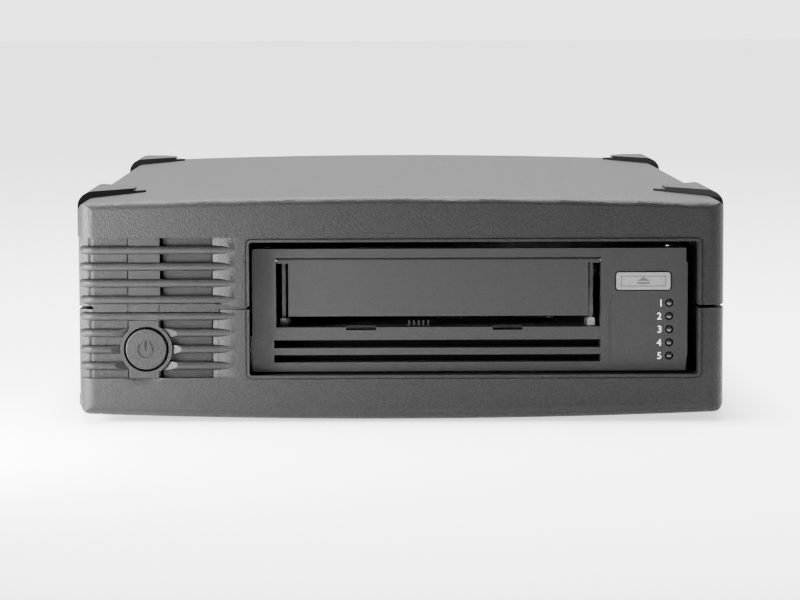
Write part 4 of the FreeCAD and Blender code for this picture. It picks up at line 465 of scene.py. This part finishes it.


# painted shade: a near-black sheet behind the two air slots, so that they read as deep shadow
ventShadeSheet = {
    "left": -44.0 * mm,
    "right": 68.0 * mm,
    "lowZ": 18.9 * mm,
    "highZ": 28.6 * mm,
    "corner": 0.5 * mm,
    "frontY": -143.2 * mm,
    "backY": -142.4 * mm,
    "bevel": 0.1 * mm,
}


def makeVentShadeSheet():
    v = ventShadeSheet
    outline = roundedOutline(v["left"], v["right"], v["lowZ"], v["highZ"], v["corner"], 3)
    steps = ((v["bevel"], v["frontY"]), (0, v["frontY"] + v["bevel"]), (0, v["backY"]))
    # near-black colour standing for the shade deep inside the slots
    shadeBlack = smoothPlastic("paintedShadeSheet", (0.004, 0.004, 0.004, 1), 0.95, 0.0, 0.3)
    solidPiece("ventShadeSheet", [carriedOutline(outline, steps)], shadeBlack)


# painted shade: a dark fill in the key's grooves, standing for the shadow in them: a fine frame, an arrow and
# a bar
keySignShade = {
    "left": 73.5 * mm,
    "right": 88.7 * mm,
    "lowZ": 45.0 * mm,
    "highZ": 48.6 * mm,
    "line": 0.3 * mm,
    "halfSign": 2.2 * mm,
    "arrow": (0.05 * mm, 1.35 * mm),  # foot and tip, above the middle of the key
    "bar": (-0.95 * mm, -0.35 * mm),
    "frontY": -150.38 * mm,
    "backY": -150.1 * mm,
}


def makeKeySignShade():
    k = keySignShade
    left, right, low, high, line = (k[key] for key in ("left", "right", "lowZ", "highZ", "line"))
    x, z, half = (left + right) / 2, (low + high) / 2, k["halfSign"]
    foot, tip = k["arrow"]
    barLow, barHigh = k["bar"]
    outlines = [
        boxOutline(left, right, high - line, high),
        boxOutline(left, right, low, low + line),
        boxOutline(left, left + line, low, high),
        boxOutline(right - line, right, low, high),
        np.array([(x, z + tip), (x - half, z + foot), (x + half, z + foot)]),
        boxOutline(x - half, x + half, z + barLow, z + barHigh),
    ]
    steps = ((0, k["frontY"]), (0, k["backY"]))
    # dark colour painted into the grooves as their shade
    coat = smoothPlastic("paintedSignShade", (0.03, 0.03, 0.03, 1), 0.5, ripple=0.02)
    solidPiece("keySignShade", [carriedOutline(o, steps) for o in outlines], coat, "eject_button")


# bare plates: one on the rear panel, one under the case that follows its crowned floor
barePlates = {
    "rear": (-46.0 * mm, 2.0 * mm, 50.0 * mm, 66.0 * mm),  # x from, to, z from, to
    "rearY": 151.2 * mm,
    "rearCorner": 1.5 * mm,
    "under": (-38.0 * mm, 38.0 * mm, -22.0 * mm, 22.0 * mm),  # x from, to, y from, to
    "underZ": 0.7 * mm,  # of the floor at its lowest, in the middle
    "underCorner": 2.0 * mm,
    "thick": 0.15 * mm,
    "bevel": 0.1 * mm,
}


# The plate under the case is made flat and then lifted by x squared / (2 R), the crown's sag.
def makeBarePlates():
    p = barePlates
    thick, bevel = p["thick"], p["bevel"]
    steps = ((0, p["rearY"]), (0, p["rearY"] + 0.7 * thick), (bevel, p["rearY"] + thick))
    rear = carriedOutline(roundedOutline(*p["rear"], p["rearCorner"]), steps)
    steps = ((bevel, -thick), (0, -0.7 * thick), (0, 0.3 * thick))
    points, faces = carriedOutline(roundedOutline(*p["under"], p["underCorner"], 9), steps)
    sag = points[:, 0] ** 2 / (2 * shells["crownRadius"])
    under = (np.column_stack((points[:, 0], points[:, 2], p["underZ"] + sag + points[:, 1])), faces)
    foil = brushedMetal("satinFoil", (0.5, 0.5, 0.51, 1), 0.42, (60, 1, 1), 20.0, 0.03)
    solidPiece("barePlates", [rear, under], foil)


makePostCaps()
makeVentShadeSheet()
makeKeySignShade()
makeBarePlates()
print("small pieces made")

# white numbers beside the lamps
lampNumbers = {
    "count": 5,
    "height": 2.3 * mm,
    "heightShare": 0.7,  # of a figure in its font size
    "right": 87.2 * mm,  # right edge of the numbers
    "firstZ": 39.4 * mm,
    "pitch": 4.45 * mm,
    "frontY": -149.9 * mm,  # floor of the sunk field
    "coat": 0.04 * mm,
    "curveSteps": 4,
}


# Each number is a flat glyph with a little thickness, made a mesh, stood upright and set in its place:
# (u, v, w) of the glyph goes to (right - width + u, front - w, middle + v).
def makeLampNumbers():
    n = lampNumbers
    points, faces, start = [], [], 0
    for i in range(n["count"]):
        curve = bpy.data.curves.new("number", "FONT")
        curve.body = str(i + 1)
        curve.size = n["height"] / n["heightShare"]
        curve.extrude = n["coat"] / 2
        curve.resolution_u = n["curveSteps"]
        holder = bpy.data.objects.new("number", curve)
        bpy.context.collection.objects.link(holder)
        glyph = bpy.data.meshes.new_from_object(holder.evaluated_get(bpy.context.evaluated_depsgraph_get()))
        bpy.data.objects.remove(holder)
        flat = np.empty(3 * len(glyph.vertices))
        glyph.vertices.foreach_get("co", flat)
        u, v, w = flat.reshape(-1, 3).T
        middle = (v.max() + v.min()) / 2
        z = n["firstZ"] - i * n["pitch"] + v - middle
        points.append(np.column_stack((n["right"] - u.max() + u, n["frontY"] - w, z)))
        faces += [tuple(start + corner for corner in face.vertices) for face in glyph.polygons]
        start += len(u)
        bpy.data.meshes.remove(glyph)
    mesh = bpy.data.meshes.new("lampNumbers")
    mesh.from_pydata(np.vstack(points).tolist(), [], faces)
    mesh.materials.append(smoothPlastic("whiteInk", (0.75, 0.75, 0.75, 1), 0.5, ripple=0.02))
    addPiece("lampNumbers", mesh)


makeLampNumbers()
print("lamp numbers made")

studio = {
    "floor": 30.0,  # side of the floor
    "floorShade": 0.86,
    "floorGlow": 1.3,  # beside and behind the drive; it fades to nothing in front
    "frontShade": 0.2,  # of the floor well in front, so that the face stays dark
    "frontSky": 0.04,
    "backSky": 1.3,
    "seenSky": 3.3,  # what the camera sees of the sky
    "sun": 3.5,
    "sunAngle": 45.0,  # degrees
    "sunTilt": -35.0,  # degrees, from behind
    # name: place, target, side of the square, watts
    "boxes": {
        "leftBox": ((-0.24, -0.24, 0.06), (-0.08, -0.15, 0.04), 0.12, 4.6),
        "overBox": ((-0.05, -0.07, 1.1), (0, -0.07, 0.07), 0.4, 52.0),
    },
}


def makeFloor():
    half = studio["floor"] / 2
    mesh = bpy.data.meshes.new("floor")
    corners = [(-half, -half, 0), (half, -half, 0), (half, half, 0), (-half, half, 0)]
    mesh.from_pydata(corners, [], [(0, 1, 2, 3)])
    floor = bpy.data.objects.new("floor", mesh)
    bpy.context.collection.objects.link(floor)
    made, tree, shader = startMaterial("paleFloor")
    faint = noise(tree, objectCoords(tree), 40.0)
    shade = studio["floorShade"]
    deep = addNode(tree, "ShaderNodeSeparateXYZ", inputs={"Vector": objectCoords(tree)}).outputs["Y"]
    pale = blendColours(tree, faint, grey(shade * 0.99), grey(shade))
    near = spread(tree, deep, -0.75, -0.45)
    connect(tree, blendColours(tree, near, grey(studio["frontShade"]), pale), shader.inputs["Base Color"])
    shader.inputs["Roughness"].default_value = 0.9
    shader.inputs["Specular IOR Level"].default_value = 0.0
    shader.inputs["Emission Color"].default_value = (1, 1, 1, 1)
    glow = spread(tree, deep, -0.6, -0.2, 0.0, studio["floorGlow"])
    connect(tree, glow, shader.inputs["Emission Strength"])
    mesh.materials.append(made)


def makeBox(name, place, target, size, power):
    data = bpy.data.lights.new(name, "AREA")
    data.size = size
    data.energy = power
    light = bpy.data.objects.new(name, data)
    light.location = place
    away = np.array(place) - np.array(target)
    reach = float(np.hypot(away[0], away[1]))
    light.rotation_euler = (math.atan2(reach, away[2]), 0, math.atan2(away[0], -away[1]))
    bpy.context.collection.objects.link(light)


def makeSun():
    data = bpy.data.lights.new("softSun", "SUN")
    data.energy = studio["sun"]
    data.angle = math.radians(studio["sunAngle"])
    light = bpy.data.objects.new("softSun", data)
    light.rotation_euler = (math.radians(studio["sunTilt"]), 0, 0)
    bpy.context.collection.objects.link(light)


# The sky is brighter behind the object than in front of it.
def makeWorld():
    world = bpy.data.worlds.new("studio")
    world.use_nodes = True
    tree = world.node_tree
    sky = tree.nodes["Background"]
    way = addNode(tree, "ShaderNodeTexCoord").outputs["Generated"]
    deep = addNode(tree, "ShaderNodeSeparateXYZ", inputs={"Vector": way}).outputs["Y"]
    glow = spread(tree, deep, -0.35, 0.25, studio["frontSky"], studio["backSky"])
    seen = addNode(tree, "ShaderNodeLightPath").outputs["Is Camera Ray"]
    connect(tree, spread(tree, seen, 0.0, 1.0, glow, studio["seenSky"]), sky.inputs["Strength"])
    sky.inputs["Color"].default_value = (1, 1, 1, 1)
    bpy.context.scene.world = world


makeFloor()
makeWorld()
makeSun()
for name, facts in studio["boxes"].items():
    makeBox(name, *facts)
print("studio lit")

view = {
    "away": 1046.0 * mm,  # in front of the front face
    "aside": -10.9 * mm,
    "above": 136.2 * mm,
    "tilt": 5.194,  # degrees below level
    "turn": 0.579,
    "roll": 0.148,
    "lens": 141.65,  # for a sensor 36 wide
    "fromCover": 0.4 * mm,  # the face lies this far behind the top cover's lowest y
}


def makeCamera():
    data = bpy.data.cameras.new("camera")
    data.sensor_width = 36.0
    data.lens = view["lens"]
    data.clip_start = 0.01
    camera = bpy.data.objects.new("camera", data)
    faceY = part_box("top_cover")[0][1] + view["fromCover"]
    camera.location = (view["aside"], faceY - view["away"], view["above"])
    camera.rotation_euler = [math.radians(a) for a in (90 - view["tilt"], view["roll"], -view["turn"])]
    bpy.context.collection.objects.link(camera)
    bpy.context.scene.camera = camera


makeCamera()
print("camera placed")
